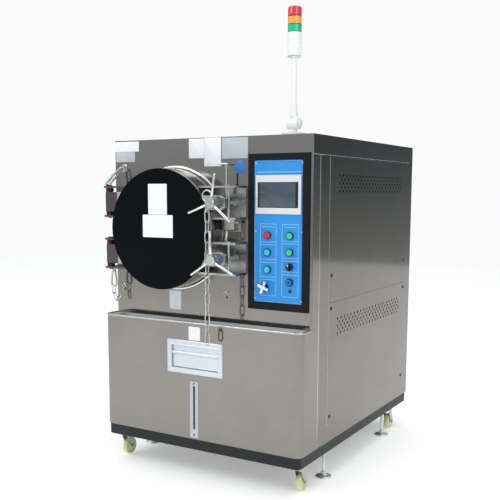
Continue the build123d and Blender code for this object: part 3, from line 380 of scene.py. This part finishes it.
# Tinted lenses of the signal tower
GREEN_LENS = finish("green_lens", "#10a878", "#1fc090", 2.0, (0.12, 0.2), Coat_Weight=0.5)
AMBER_LENS = finish("amber_lens", "#e8962a", "#f8b050", 2.0, (0.12, 0.2), Coat_Weight=0.5)
RED_LENS = finish("red_lens", "#c02438", "#d83c50", 2.0, (0.12, 0.2), Coat_Weight=0.5)
# Cast nylon of the caster wheels, yellowish
NYLON = finish("cream_nylon", "#c9cb96", "#dadbb0", 2.5, (0.3, 0.45), 0.00003)
SILICONE = finish("silicone_seal", "#c9c2b4", "#d6d0c4", 1.2, (0.5, 0.65), 0.00003)
# Hinge pins, a dark red-brown
BRONZE = finish("bronze_pin", "#4c2428", "#603438", 1.0, (0.3, 0.42), 0.00002, Metallic=1.0)
BRASS = finish("brass_fitting", "#a98a4c", "#c4a766", 1.0, (0.25, 0.38), 0.00002, Metallic=1.0)
# Steel of the hinge side, darkened like the door's arms in the shade beside the disc: painted shade
SHADED_HINGE_STEEL = finish(
    "hinge_steel_painted_shade", "#5a585e", "#6c6a70", 2.0, (0.18, 0.3), 0.00002, (1, 1, 0.2), 0.5, Metallic=1.0,
)
# Dull folded pan under the door, which takes light from above
PAN_STEEL = finish(
    "pan_steel", "#b2b6b8", "#c2c6c8", 1.5, (0.4, 0.5), 0.00001, (0.05, 1, 1), 0.4, Metallic=0.2,
)
# Bright zinc of the levelling feet
FOOT_ZINC = finish(
    "foot_zinc", "#d4d7d8", "#e8eaea", 3.0, (0.25, 0.35), 0.00002, (1, 1, 1), 0.4, Metallic=0.7,
)
RUBBER = finish("black_rubber", "#17181a", "#202123", 1.0, (0.6, 0.75), 0.00005)
# Bare label plates: the sticker and the engraved plate
LABEL_WHITE = finish("label_white", "#dfe3ea", "#ebeef4", 3.0, (0.3, 0.4))
LABEL_GREY = finish("label_grey", "#aab0b8", "#b8bec6", 3.0, (0.3, 0.42))
LABEL_BLUE = finish("label_blue", "#2c68a8", "#3674b6", 3.0, (0.35, 0.45))

# Which look each CAD node wears
NODE_LOOKS = [
    (BLACK_ENAMEL, ["base_frame"]),
    (FRAME_GREY, ["chassis_frame"]),
    (STAINLESS, ["front_panel", "lower_front_cover", "top_cover", "water_tank"]),
    (PAN_STEEL, ["drip_tray"]),
    (SHADED_SIDE_STEEL, ["outer_walls", "access_panels"]),
    (BLACK_PLASTIC, ["panel_screws", "selector_knob", "key_barrel"]),
    (BRASS, ["wall_fittings"]),
    (TURNED_STEEL, ["vessel_shell", "vessel_flange", "specimen_rack"]),
    (POLISHED, ["trim_ring"]),
    (DOOR_STEEL, ["door_plate"]),
    (DOOR_BLACK, ["door_cover"]),
    (SILICONE, ["door_gasket"]),
    (ZINC, [
        "star_handle_upper", "star_handle_lower", "clamp_brackets", "lock_pin", "interlock_switch",
        "safety_chain", "retaining_chains",
    ]),
    (SHADED_HINGE_STEEL, ["hinge_brackets"]),
    (BRONZE, ["hinge_pins"]),
    (FRAME_BLACK, ["control_frame"]),
    (PLATE_BLUE, ["control_plate"]),
    (ABS_GREY, ["hmi_bezel"]),
    (SCREEN_EDGE, ["hmi_screen"]),
    (RING_PAINTED_SHADE, ["control_rings"]),
    (RED_CAP, ["button_red"]),
    (TEAL_CAP, ["button_blue_upper", "button_blue_lower"]),
    (GREEN_CAP, ["button_green_upper", "button_green_lower"]),
    (CHROME, ["valve_handle"]),
    (LABEL_GREY, ["gauge_frame"]),
    (ALUMINIUM, ["filler_frame", "filler_flap"]),
    (WHITE_PLASTIC, ["tower_foot", "tower_mast"]),
    (GREEN_LENS, ["lens_green"]),
    (AMBER_LENS, ["lens_amber"]),
    (RED_LENS, ["lens_red"]),
]
for look, stem in ((ZINC, "caster_fork"), (NYLON, "caster_wheel"), (FOOT_ZINC, "foot")):
    NODE_LOOKS.append((look, [f"{stem}_{place}" for place in PLACES]))

# The door's arms lie in the shade beside its disc
ARM_EDGE = -0.372
shader = DOOR_STEEL.node_tree.nodes["Principled BSDF"]
lit = shader.inputs["Base Color"].links[0].from_socket
across = add(DOOR_STEEL.node_tree, "ShaderNodeTexCoord").outputs["Object"]
across = add(DOOR_STEEL.node_tree, "ShaderNodeSeparateXYZ", {"Vector": across}).outputs["X"]
across = add(
    DOOR_STEEL.node_tree, "ShaderNodeMapRange",
    {"Value": across, "From Min": ARM_EDGE - 0.004, "From Max": ARM_EDGE},
)
shade = {0: across.outputs["Result"], 6: linear("#5c5658"), 7: lit}
shade = add(DOOR_STEEL.node_tree, "ShaderNodeMix", shade, data_type="RGBA").outputs[2]
DOOR_STEEL.node_tree.links.new(shade, shader.inputs["Base Color"])
for look, names in NODE_LOOKS:
    for name in names:
        nodes[name].data.materials.clear()
        nodes[name].data.materials.append(look)


# Camera at the photograph's place
CAMERA_PLACE = (1.7487, -3.1282, 1.1743)
CAMERA_YAW, CAMERA_PITCH, CAMERA_ROLL = 0.5384, 0.12773, 0.0020
camera_data = bpy.data.cameras.new("camera")
camera_data.sensor_width = 36.0
camera_data.lens = 779.17 * 36.0 / 500.0
camera_data.shift_x = (250.0 - 242.36) / 500.0
camera_data.shift_y = (292.04 - 250.0) / 500.0
camera = bpy.data.objects.new("camera", camera_data)
aim = Euler((pi / 2 - CAMERA_PITCH, 0, CAMERA_YAW)).to_matrix() @ Matrix.Rotation(CAMERA_ROLL, 3, "Z")
camera.matrix_world = Matrix.Translation(CAMERA_PLACE) @ aim.to_4x4()
bpy.context.scene.collection.objects.link(camera)
bpy.context.scene.camera = camera

# Pale floor that the chamber stands on
floor_mesh = bmesh.new()
bmesh.ops.create_grid(floor_mesh, x_segments=1, y_segments=1, size=9.0)
floor_data = bpy.data.meshes.new("floor")
floor_mesh.to_mesh(floor_data)
floor_mesh.free()
floor = bpy.data.objects.new("floor", floor_data)
bpy.context.scene.collection.objects.link(floor)
floor_data.materials.append(
    finish(
        "floor_white", "#e9e9e8", "#eeeeed", 400.0, (0.7, 0.8), Emission_Color=(1, 1, 1, 1),
        Emission_Strength=0.34,
    )
)

# Surroundings that only the reflections see; the camera sees white
world = bpy.data.worlds.new("studio")
bpy.context.scene.world = world
world.use_nodes = True
sky = world.node_tree
heading = add(sky, "ShaderNodeTexCoord").outputs["Generated"]
height = add(sky, "ShaderNodeSeparateXYZ", {"Vector": heading}).outputs["Z"]
height = add(
    sky, "ShaderNodeMapRange", {"Value": height, "From Min": -1.0, "From Max": 1.0},
).outputs["Result"]
# What the front mirrors lies before the chamber; the darker hall that the side mirrors lies behind it
FRONT_BANDS = [
    (0.0, "#e4e1db"), (0.44, "#e0ddd7"), (0.456, "#d3d2ce"), (0.472, "#cccdcd"), (0.490, "#cdd1d3"),
    (0.510, "#d6dce0"), (0.535, "#e2eaf0"), (0.60, "#d0d6da"), (0.75, "#c8cccf"), (1.0, "#ffffff"),
]
SIDE_BANDS = [
    (0.0, "#e4e2dc"), (0.43, "#e4e2dc"), (0.445, "#bcbcb8"), (0.47, "#a0a4a3"), (0.50, "#80878a"),
    (0.53, "#626a6e"), (0.60, "#787f83"), (0.75, "#c8cccf"), (1.0, "#ffffff"),
]
mirrors = []
for band_list in (FRONT_BANDS, SIDE_BANDS):
    bands = add(sky, "ShaderNodeValToRGB", {"Fac": height})
    while len(bands.color_ramp.elements) < len(band_list):
        bands.color_ramp.elements.new(0.5)
    for element, (position, code) in zip(bands.color_ramp.elements, band_list):
        element.position, element.color = position, linear(code)
    mirrors.append(bands.outputs["Color"])
behind = add(sky, "ShaderNodeSeparateXYZ", {"Vector": heading}).outputs["Y"]
behind = add(
    sky, "ShaderNodeMapRange", {"Value": behind, "From Min": -0.1, "From Max": 0.3},
).outputs["Result"]
hall = add(sky, "ShaderNodeMix", {0: behind, 6: mirrors[0], 7: mirrors[1]}, data_type="RGBA").outputs[2]
mirrored = add(sky, "ShaderNodeBackground", {"Color": hall, "Strength": 1.0})
seen = add(sky, "ShaderNodeBackground", {"Color": linear("#fbfbfb"), "Strength": 1.0})
by_eye = add(sky, "ShaderNodeLightPath").outputs["Is Camera Ray"]
both = add(sky, "ShaderNodeMixShader", {0: by_eye, 1: mirrored.outputs[0], 2: seen.outputs[0]})
sky.links.new(both.outputs[0], sky.nodes["World Output"].inputs["Surface"])


def soft_light(name, place, target, size, power, colour="#ffffff"):
    """Square softbox aimed at a point."""
    data = bpy.data.lights.new(name, "AREA")
    data.size, data.energy, data.color = size, power, linear(colour)[:3]
    light = bpy.data.objects.new(name, data)
    light.location = place
    light.rotation_euler = (Vector(target) - Vector(place)).to_track_quat("-Z", "Y").to_euler()
    bpy.context.scene.collection.objects.link(light)


soft_light("key", (-2.6, -4.2, 4.4), (0, 0, 0.9), 2.6, 100)
soft_light("fill", (4.2, -2.6, 3.4), (0, 0, 0.9), 2.6, 50)
soft_light("top", (0.5, 0.5, 5.0), (0, 0, 1.0), 3.0, 70)

bpy.context.scene.view_settings.view_transform = "Standard"


# Bare plates where the machine carries its labels: name, x, z, look, slot and corner radius
LABEL_THICK, LABEL_CORNER = 0.0008, 0.003
FACE_LABELS = [
    ("nameplate", (-0.472, -0.342), (1.343, 1.385), LABEL_WHITE, "polished", LABEL_CORNER),
    ("type_plate", (-0.467, -0.364), (1.300, 1.342), LABEL_GREY, "polished", LABEL_CORNER),
    ("label_yellow_left", (-0.085, -0.012), (1.309, 1.387), LABEL_WHITE, "white_plastic", LABEL_CORNER),
    ("label_tall", (-0.011, 0.069), (1.276, 1.389), LABEL_WHITE, "white_plastic", LABEL_CORNER),
    ("label_wide", (0.073, 0.193), (1.305, 1.386), LABEL_GREY, "white_plastic", LABEL_CORNER),
    ("label_round", (0.130, 0.184), (1.244, 1.298), LABEL_BLUE, "blue_plate", 0.0265),
    ("label_ledge", (-0.189, -0.130), (0.683, 0.763), LABEL_WHITE, "white_plastic", LABEL_CORNER),
]
for name, x, z, look, slot, corner in FACE_LABELS:
    plate(name, x, z, FACE - LABEL_THICK, LABEL_THICK, look, "cabinet", corner)
BOX_LABEL = BOX_FACE - LABEL_THICK
plate(
    "label_box", (-0.034, 0.022), (0.578, 0.634), BOX_LABEL, LABEL_THICK, LABEL_WHITE, "cabinet",
)
DOOR_LABEL = FACE - 0.1138  # on the black cover
DOOR_LABELS = {
    "door_label_upper": ((-0.209, -0.116), (1.083, 1.206)),
    "door_label_lower": ((-0.238, -0.088), (0.991, 1.082)),
}
for name, (x, z) in DOOR_LABELS.items():
    plate(name, x, z, DOOR_LABEL, LABEL_THICK, LABEL_WHITE, "door")


# Round link chains. The safety chain hangs from the ring on the upper clamp sleeve
LINK_LENGTH, LINK_WIDTH, LINK_WIRE = 0.052, 0.024, 0.0058
LINK_PITCH = 0.040
DRUM_RADIUS = 0.024
EYE_RADIUS, EYE_WIRE, EYE_LEAN = 0.024, 0.006, radians(146.8)
CHAIN_LINKS = 14
CHAIN_Y = FACE - 0.133
eye_reach = DRUM_RADIUS + EYE_RADIUS
eye_z = CLAMP_HEIGHTS["upper"] + eye_reach * sin(EYE_LEAN)
eye = Vector((CLAMP_X + eye_reach * cos(EYE_LEAN), CHAIN_Y, eye_z))
mesh = bmesh.new()
ring(mesh, eye, BACK, EYE_RADIUS - EYE_WIRE / 2, EYE_WIRE / 2)
for index in range(CHAIN_LINKS):
    drop = EYE_RADIUS - EYE_WIRE + LINK_PITCH / 2 + index * LINK_PITCH
    normal = BACK if index % 2 else RIGHT
    chain_link(mesh, eye - Vector((0, 0, drop)), UP, normal, LINK_LENGTH, LINK_WIDTH, LINK_WIRE)
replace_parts(piece("safety_chain_links", mesh, ZINC, "door"), "safety_chain")

# Open hooks on the face, each in a small collar
HOOK_Z, HOOK_WIRE, HOOK_BEND = 0.768, 0.003, 0.010
HOOK_COLLAR = [(0, 0), (0.009, 0), (0.009, 0.0015), (0.006, 0.003), (0, 0.003)]
mesh = bmesh.new()
for x in (-0.433, 0.091):
    root = Vector((x, FACE, HOOK_Z))
    turned(mesh, HOOK_COLLAR, root, FRONT, 20)
    bend = arc(root + Vector((0, -0.014, -HOOK_BEND)), HOOK_BEND, 90, 255, FRONT, UP, 10)
    tube(mesh, [root, *bend], HOOK_WIRE)

# Snap hook over the upper hinge: its wall block and link, then the hook with its spring gate
brick(mesh, (-0.434, FACE - 0.003, 1.260), (-0.406, FACE, 1.290), 0.0012)
chain_link(mesh, (-0.420, FACE - 0.012, 1.275), BACK, RIGHT, 0.022, 0.022, 0.005)
SNAP_WIRE, GATE_WIRE = 0.0048, 0.003
NOSE_BEND, TAIL_BEND = 0.0065, 0.0145
snap_start, snap_end = from_face(-420, -18, 1276), from_face(-456, -80, 1202)
snap = snap_end - snap_start
across = snap.cross(Vector((1, 0, -0.49))).normalized()
nose, tail = snap_start + snap * 0.09, snap_start + snap * 0.84
path = arc(tail, TAIL_BEND, 90, -90, snap, across, 8) + arc(nose, NOSE_BEND, -90, -270, snap, across, 6)
tube(mesh, path, SNAP_WIRE, 10, True)
gate_root, gate_tip = tail + across * 0.002 + snap * 0.02, snap_start + snap * 0.40 + across * 0.0125
tube(mesh, [gate_root, gate_tip], GATE_WIRE)

# Short chain under the lower hinge: shackle link, pear-shaped ring, then links up to the left hook
SHACKLE_Z = CLAMP_HEIGHTS["lower"] - 0.074
PEAR_X, PEAR_Y, PEAR_WIRE = -0.447, FACE - 0.052, 0.0042
SHORT_PITCH, SHORT_OVERLAP, SHORT_WIDTH, SHORT_WIRE = 0.032, 0.009, 0.020, 0.0045
chain_link(mesh, (-0.446, PEAR_Y, SHACKLE_Z), UP, BACK, 0.018, 0.020, 0.004)
path = arc((PEAR_X, PEAR_Y, 0.830), 0.008, 0, 180, RIGHT, UP) + arc(
    (PEAR_X, PEAR_Y, 0.783), 0.014, 180, 360, RIGHT, UP,
)
tube(mesh, path, PEAR_WIRE, 10, True)
CHAIN_PATH = [(-447, -52, 770), (-449, -50, 728), (-434, -40, 706), (-431, -24, 750)]
joints = spaced(smooth_curve([from_face(*place) for place in CHAIN_PATH], 12), SHORT_PITCH)
for index, (start, end) in enumerate(zip(joints, joints[1:])):
    along = end - start
    normal = along.cross(Vector(BACK if index % 2 else RIGHT))
    chain_link(
        mesh, (start + end) / 2, along, normal, along.length + SHORT_OVERLAP, SHORT_WIDTH, SHORT_WIRE,
    )
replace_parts(piece("side_chain_and_hooks", mesh, ZINC, "cabinet"), "retaining_chains")

# Star handles: eight-sided hub, polished bars with round ends, spindle with the start of its thread
HUB_FRONT, HUB_BACK, SPINDLE_TIP = FACE - 0.180, FACE - 0.1563, FACE - 0.0523
HUB_RADIUS, HUB_CHAMFER, SPINDLE_RADIUS = 0.0213, 0.003, 0.008
THREAD_START, THREAD_PITCH, THREAD_ROOT = FACE - 0.090, 0.004, 0.0068
BAR_RADIUS, BAR_DOME, BAR_START, BAR_END = 0.0048, 0.0045, 0.014, 0.112
STUD_FRONT = FACE - 0.052
STUD_SEAL = [(0.0085, 0), (0.0125, 0), (0.0125, 0.003), (0.0085, 0.003), (0.0085, 0)]
hub_depth, hub_face = HUB_BACK - HUB_FRONT, HUB_RADIUS - HUB_CHAMFER + 0.0002
HUB = [
    (0, 0.0015), (0.007, 0.0015), (0.008, 0), (hub_face, 0), (HUB_RADIUS, HUB_CHAMFER),
    (HUB_RADIUS, hub_depth - HUB_CHAMFER), (hub_face, hub_depth), (0, hub_depth),
]
SPINDLE = [(0, HUB_BACK), (SPINDLE_RADIUS, HUB_BACK), (SPINDLE_RADIUS, THREAD_START)]
for turn in range(int((SPINDLE_TIP - THREAD_START - 0.002) / THREAD_PITCH)):
    at = THREAD_START + turn * THREAD_PITCH
    SPINDLE += [(THREAD_ROOT, at + THREAD_PITCH / 2), (SPINDLE_RADIUS, at + THREAD_PITCH)]
SPINDLE += [(THREAD_ROOT, SPINDLE_TIP), (0, SPINDLE_TIP)]
for level, height in CLAMP_HEIGHTS.items():
    mesh = bmesh.new()
    axis = Vector((CLAMP_X, 0, height))
    middle = axis + Vector((0, (HUB_FRONT + HUB_BACK) / 2, 0))
    turned(mesh, HUB, axis + Vector((0, HUB_FRONT, 0)), BACK, 8, 1)
    turned(mesh, SPINDLE, axis, BACK, 20, 1)
    for arm in range(3):
        turn = radians(STAR_ANGLES[level] + 120.0 * arm)
        reach = Vector((cos(turn), 0, sin(turn)))
        rod(mesh, middle + reach * BAR_START, middle + reach * BAR_END, BAR_RADIUS, 16, BAR_DOME, 0)
        rod(mesh, middle + reach * 0.017, middle + reach * 0.025, 0.0068, 16, 0.001, 1)
    star = f"star_handle_{level}"
    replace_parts(piece(f"star_{level}", mesh, [CHROME, ZINC], star), star)
    mesh = bmesh.new()
    turned(mesh, STUD_SEAL, axis + Vector((0, STUD_FRONT, 0)), BACK, 24)
    piece(f"stud_seal_{level}", mesh, RUBBER, "cabinet")

# Rolled hem along the front lip of the lower box, bright against the dark trough
HEM = 0.0045
HEM_CORNER = 0.028
hem_z, hem_side, hem_front = 0.6485, 0.4735, BOX_FACE + 0.0025
path = [(-hem_side, FACE - 0.002, hem_z)]
path += arc((-hem_side + HEM_CORNER, hem_front + HEM_CORNER, hem_z), HEM_CORNER, 180, 270, RIGHT, BACK)
path += arc((hem_side - HEM_CORNER, hem_front + HEM_CORNER, hem_z), HEM_CORNER, 270, 360, RIGHT, BACK)
path += [(hem_side, FACE - 0.002, hem_z)]
mesh = bmesh.new()
tube(mesh, path, HEM, 12)
piece("ledge_hem", mesh, ZINC, "cabinet")

# Lines on the blue plate: a painted highlight round its edge, standing in for the frame's lit inner bevel,
# then the printed title line, two columns and the rows between the controls
PLATE_FRONT = FACE - 0.004
PRINT_Y = PLATE_FRONT - 0.0001
LINE = 0.0007
mesh = bmesh.new()
# Painted highlight: a light outline where the frame's inner bevel catches the light
tube(mesh, rounded((0.2272, 0.4338), (0.7495, 1.2925), 0.003, PRINT_Y), LINE, 6, True)
tube(mesh, [(0.234, PRINT_Y, 1.250), (0.427, PRINT_Y, 1.250)], LINE * 1.6, 6)
COLUMNS = {"left": (0.252, 0.322), "right": (0.348, 0.418)}
ROWS = {
    "left": (0.982, 0.972, 0.915, 0.903, 0.847, 0.836),
    "right": (0.988, 0.978, 0.923, 0.912, 0.870, 0.859),
}
for side, (left, right) in COLUMNS.items():
    tube(mesh, rounded((left, right), (0.773, 1.052), 0.005, PRINT_Y), LINE, 6, True)
    for height in ROWS[side]:
        tube(mesh, [(left + 0.003, PRINT_Y, height), (right - 0.003, PRINT_Y, height)], LINE, 6)
    tube(mesh, [(left + 0.008, PRINT_Y, 1.041), (right - 0.008, PRINT_Y, 1.041)], LINE, 6)
piece("panel_print_and_highlight", mesh, PRINT_AND_HIGHLIGHT_WHITE, "cabinet")

# Screws of the control plate and the operator screen's lit area
mesh = bmesh.new()
SCREW_HEAD = [(0, 0.0006), (0.0012, 0.0006), (0.002, 0.0015), (0.003, 0.0013), (0.0038, 0), (0, 0)]
for z in (1.024, 0.760, 1.284):
    for x in (0.232, 0.432):
        turned(mesh, SCREW_HEAD, (x, PLATE_FRONT, z), FRONT, 16)
piece("plate_screws", mesh, POLISHED, "cabinet")
SCREEN_FRONT = FACE - 0.0094
plate(
    "screen_view", (0.250, 0.4055), (1.117, 1.2095), SCREEN_FRONT, 0.0003, SCREEN, "cabinet",
    0.001,
)

# Valve knob with four lobes on a turned hub, its white cap and its stem
valve = Vector((0.273, FACE - 0.020, 0.805))
VALVE_HUB = [
    (0, 0), (0.006, 0), (0.008, 0.002), (0.0095, 0.006), (0.0102, 0.012), (0.0102, 0.0187), (0, 0.0187),
]
VALVE_CAP = [(0, 0), (0.0045, 0), (0.005, 0.001), (0.005, 0.0015), (0, 0.0015)]
mesh = bmesh.new()
for turn in (20, 110):
    faces = brick(mesh, (-0.025, -0.0045, -0.006), (0.025, 0.0045, 0.006), 0.0028, 3)
    verts = list({vert for face in faces if face.is_valid for vert in face.verts})
    place = Matrix.Translation(valve) @ Matrix.Rotation(radians(turn), 4, "Y")
    bmesh.ops.transform(mesh, matrix=place, verts=verts)
turned(mesh, VALVE_HUB, valve + Vector((0, -0.0055, 0)), BACK, 24)
turned(mesh, VALVE_CAP, valve + Vector((0, -0.0066, 0)), BACK, 20, 1)
rod(mesh, valve + Vector((0, 0.013, 0)), valve + Vector((0, 0.034, 0)), 0.005, 12)
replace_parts(piece("valve_knob", mesh, [CHROME, LABEL_WHITE], "valve_handle"), "valve_handle")

# White pointer on the selector
mesh = bmesh.new()
brick(mesh, (0.3803, FACE - 0.0234, 0.891), (0.3827, FACE - 0.0229, 0.900))
piece("selector_pointer", mesh, LABEL_WHITE, "selector_knob")

# Key switch: a small black barrel in a face printed like the plate
key_low, key_high = (Vector(corner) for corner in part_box("key_barrel"))
key = Vector(((key_low.x + key_high.x) / 2, key_low.y, (key_low.z + key_high.z) / 2))
mesh = bmesh.new()
turned(mesh, [(0, 0), (0.0105, 0), (0.0108, 0.0003), (0, 0.0003)], key + Vector((0, -0.0003, 0)), BACK, 32)
turned(
    mesh, [(0, 0), (0.0060, 0), (0.0064, 0.0004), (0, 0.0004)], key + Vector((0, -0.0008, 0)), BACK, 24, 1,
)
piece("key_face", mesh, [PLATE_BLUE, BLACK_PLASTIC], "key_barrel")

# Filler: pressed rims round the frame and round its opening
filler_low, filler_high = (Vector(corner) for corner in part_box("filler_frame"))
mesh = bmesh.new()
for inset, bead in ((0.003, 0.0022), (0.019, 0.0016)):
    corners = (filler_low.x + inset, filler_high.x - inset), (filler_low.z + inset, filler_high.z - inset)
    tube(mesh, rounded(*corners, 0.004, filler_low.y + 0.0004), bead, 8, True)
piece("filler_rims", mesh, ALUMINIUM, "cabinet")

# Gauge strip: sight glass behind the slot, then bare graduations and the strip's two screws
GAUGE_X, GLASS_LOW, GLASS_HIGH = -0.008, 0.205, 0.394
glass_y, column_y = BOX_FACE + 0.002, BOX_FACE + 0.0028
mesh = bmesh.new()
rod(mesh, (GAUGE_X, glass_y, GLASS_LOW), (GAUGE_X, glass_y, GLASS_HIGH), 0.0042)
rod(mesh, (GAUGE_X, column_y, GLASS_LOW), (GAUGE_X, column_y, 0.300), 0.0039, 12)
piece("gauge_glass", mesh, SCREEN_EDGE, "cabinet")
MARK_X, MARK_Z, MARK_PITCH, MARK_WIDTH = -0.0008, 0.212, 0.011, 0.0008
mark_front, mark_back = BOX_FACE - 0.0027, BOX_FACE - 0.0025
mesh = bmesh.new()
for index in range(17):
    length = 0.0058 if index % 4 == 0 else 0.0038
    z = MARK_Z + index * MARK_PITCH
    brick(mesh, (MARK_X, mark_front, z), (MARK_X + length, mark_back, z + MARK_WIDTH))
for z in (0.185, 0.400):
    turned(mesh, SCREW_HEAD, (GAUGE_X, mark_back, z), FRONT, 16)
piece("gauge_marks", mesh, SEAM_DARK, "cabinet")

# Caster dress: tyre and hub in place of the plain wheel, axle nuts and the swivel race
WHEEL_RADIUS, WHEEL_LIFT, TRAIL = 0.0375, 0.002, 0.026
TYRE = [
    (4.2, -12), (12, -12), (13.5, -10.5), (14.5, -8.5), (26, -8.5), (28, -10.5), (
        31, -11.6,
    ), (34.5, -10.6), (36.8, -7.5),
    (37.4, -3), (37.4, 3), (36.8, 7.5), (34.5, 10.6), (31, 11.6), (28, 10.5), (
        26, 8.5,
    ), (14.5, 8.5), (13.5, 10.5),
    (12, 12), (4.2, 12), (4.2, -12),
]
AXLE_NUT = [(0, 0), (0.0072, 0), (0.0072, 0.004), (0.006, 0.005), (0, 0.005)]
AXLE_WASHER = [(0, 0), (0.009, 0), (0.009, 0.001), (0, 0.001)]
SWIVEL_RACE = [(0, 0), (0.022, 0), (0.0255, 0.0015), (0.0255, 0.004), (0.022, 0.0055), (0, 0.0055)]
NUT_OUT, RACE_Z = 0.017, 0.111
caster_places = [(x, y) for y in (FACE - 0.008, FACE + 0.960) for x in (-0.433, 0.433)]
foot_places = [(x, y) for y in (FACE + 0.203, FACE + 0.866) for x in (-0.442, 0.442)]
for place, (x, y) in zip(PLACES, caster_places):
    hub = Vector((x, y + TRAIL, WHEEL_RADIUS + WHEEL_LIFT))
    mesh = bmesh.new()
    turned(mesh, [(r / 1000, a / 1000) for r, a in TYRE], hub, RIGHT, 40)
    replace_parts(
        piece(f"wheel_{place}", mesh, NYLON, f"caster_wheel_{place}"),
        f"caster_wheel_{place}",
    )
    mesh = bmesh.new()
    for side in (-1, 1):
        seat = hub + Vector((side * NUT_OUT, 0, 0))
        turned(mesh, AXLE_NUT, seat, (side, 0, 0), 6)
        turned(mesh, AXLE_WASHER, seat, (side, 0, 0), 24)
    turned(mesh, SWIVEL_RACE, (x, y, RACE_Z), UP, 32)
    piece(f"caster_dress_{place}", mesh, ZINC, f"caster_fork_{place}")

# Levelling feet: bell-shaped base in millimetres, nut, threaded stem and the nut under the frame
BELL = [
    (0, 0), (32, 0), (34, 1.5), (34, 5.5), (32.5, 7.5), (27, 9.5), (
        19, 12,
    ), (13.5, 14.5), (12, 16), (0, 16),
]
FOOT_NUT = [(0, 0.016), (0.0095, 0.016), (0.011, 0.0175), (0.011, 0.0235), (0.0095, 0.025), (0, 0.025)]
LOCK_NUT = [(0, 0), (0.0105, 0), (0.0115, 0.0015), (0.0115, 0.0065), (0.0105, 0.008), (0, 0.008)]
STEM_RADIUS, STEM_ROOT, STEM_PITCH = 0.006, 0.0053, 0.0024
STEM_START, STEM_TOP, LOCK_NUT_Z = 0.070, 0.160, 0.1115
STEM = [(0, 0.025), (0.0058, 0.025), (STEM_RADIUS, 0.027), (STEM_RADIUS, STEM_START)]
for turn in range(20):
    at = STEM_START + turn * STEM_PITCH
    STEM += [(STEM_ROOT, at + STEM_PITCH / 2), (STEM_RADIUS, at + STEM_PITCH)]
STEM += [(STEM_RADIUS, STEM_TOP), (0, STEM_TOP)]
for place, (x, y) in zip(PLACES, foot_places):
    mesh = bmesh.new()
    turned(mesh, [(r / 1000, a / 1000) for r, a in BELL], (x, y, 0), UP, 40)
    turned(mesh, FOOT_NUT, (x, y, 0), UP, 6)
    turned(mesh, STEM, (x, y, 0), UP, 18)
    turned(mesh, LOCK_NUT, (x, y, LOCK_NUT_Z), UP, 6)
    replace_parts(piece(f"foot_bell_{place}", mesh, FOOT_ZINC, f"foot_{place}"), f"foot_{place}")

# Pan heads of the access panels, with a driver recess
mesh = bmesh.new()
PAN_HEAD = [
    (0, 0.0008), (0.0018, 0.0008), (0.0026, 0.0024), (0.0052, 0.0025), (0.0074, 0.0016), (0.0082, 0),
    (0, 0),
]
for side in (-1, 1):
    for y in (FACE + 0.175, FACE + 1.023):
        for z in (0.271, 0.714, 0.846, 1.287):
            turned(mesh, PAN_HEAD, (side * 0.4765, y, z), (side, 0, 0), 20)
            rod(mesh, (side * 0.4645, y, z), (side * 0.4766, y, z), 0.003, 10)
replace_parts(piece("pan_heads", mesh, BLACK_PLASTIC, "cabinet"), "panel_screws")

# Bright folded edges of the access panels and of the roof's skirt
panel_low, panel_high = (Vector(corner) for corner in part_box("access_panels"))
SKIRT_Z, EDGE_X, EDGE = 1.316, 0.4753, 0.0009
mesh = bmesh.new()
for side in (-EDGE_X, EDGE_X):
    low_edge, high_edge = (side, panel_low.y, panel_low.z), (side, panel_high.y, panel_high.z)
    outline = [low_edge, (side, panel_high.y, panel_low.z), high_edge, (side, panel_low.y, panel_high.z)]
    tube(mesh, outline, EDGE, 6, True)
    tube(mesh, [(side, FACE + 0.002, SKIRT_Z), (side, panel_high.y, SKIRT_Z)], EDGE, 6)
    tube(mesh, [(side, FACE + 0.061, 0.210), (side, FACE + 0.061, SKIRT_Z)], EDGE, 6)
piece("side_edges", mesh, POLISHED, "cabinet")

# Signal tower: lenses stepped at their joints, a domed red cap, dark joint rings and foot screws
TOWER_RADIUS, TOWER_TOP = 0.026, 1.865
LENS_LOW, LENS_HEIGHT = 1.770, 0.029
STEP_RADIUS = TOWER_RADIUS - 0.0012
for index, (colour, look) in enumerate((("green", GREEN_LENS), ("amber", AMBER_LENS), ("red", RED_LENS))):
    low = LENS_LOW + index * LENS_HEIGHT
    top = low + LENS_HEIGHT
    profile = [(0, low), (STEP_RADIUS, low), (STEP_RADIUS, low + 0.001), (TOWER_RADIUS, low + 0.002)]
    if colour == "red":
        profile += [(TOWER_RADIUS, top), (0.0253, TOWER_TOP - 0.0045), (0.0225, TOWER_TOP - 0.0015)]
        profile += [(0.018, TOWER_TOP), (0, TOWER_TOP)]
    else:
        profile += [(TOWER_RADIUS, top - 0.002), (STEP_RADIUS, top - 0.001), (STEP_RADIUS, top), (0, top)]
    mesh = bmesh.new()
    turned(mesh, profile, (TOWER.x, TOWER.y, 0), UP, 48)
    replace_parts(piece(f"tower_lens_{colour}", mesh, look, "tower"), f"lens_{colour}")
mesh = bmesh.new()
for z in (1.682, 1.770, 1.799, 1.828):
    ring(mesh, (TOWER.x, TOWER.y, z), UP, TOWER_RADIUS - 0.0005, 0.0006, 40)
piece("tower_joints", mesh, SEAM_DARK, "tower")
FOOT_SCREW_CIRCLE, FOOT_TOP = 0.037, 1.398
mesh = bmesh.new()
for turn in (30, 150, 270):
    x = TOWER.x + FOOT_SCREW_CIRCLE * cos(radians(turn))
    y = TOWER.y + FOOT_SCREW_CIRCLE * sin(radians(turn))
    turned(mesh, SCREW_HEAD, (x, y, FOOT_TOP), UP, 16)
piece("tower_foot_screws", mesh, POLISHED, "cabinet")
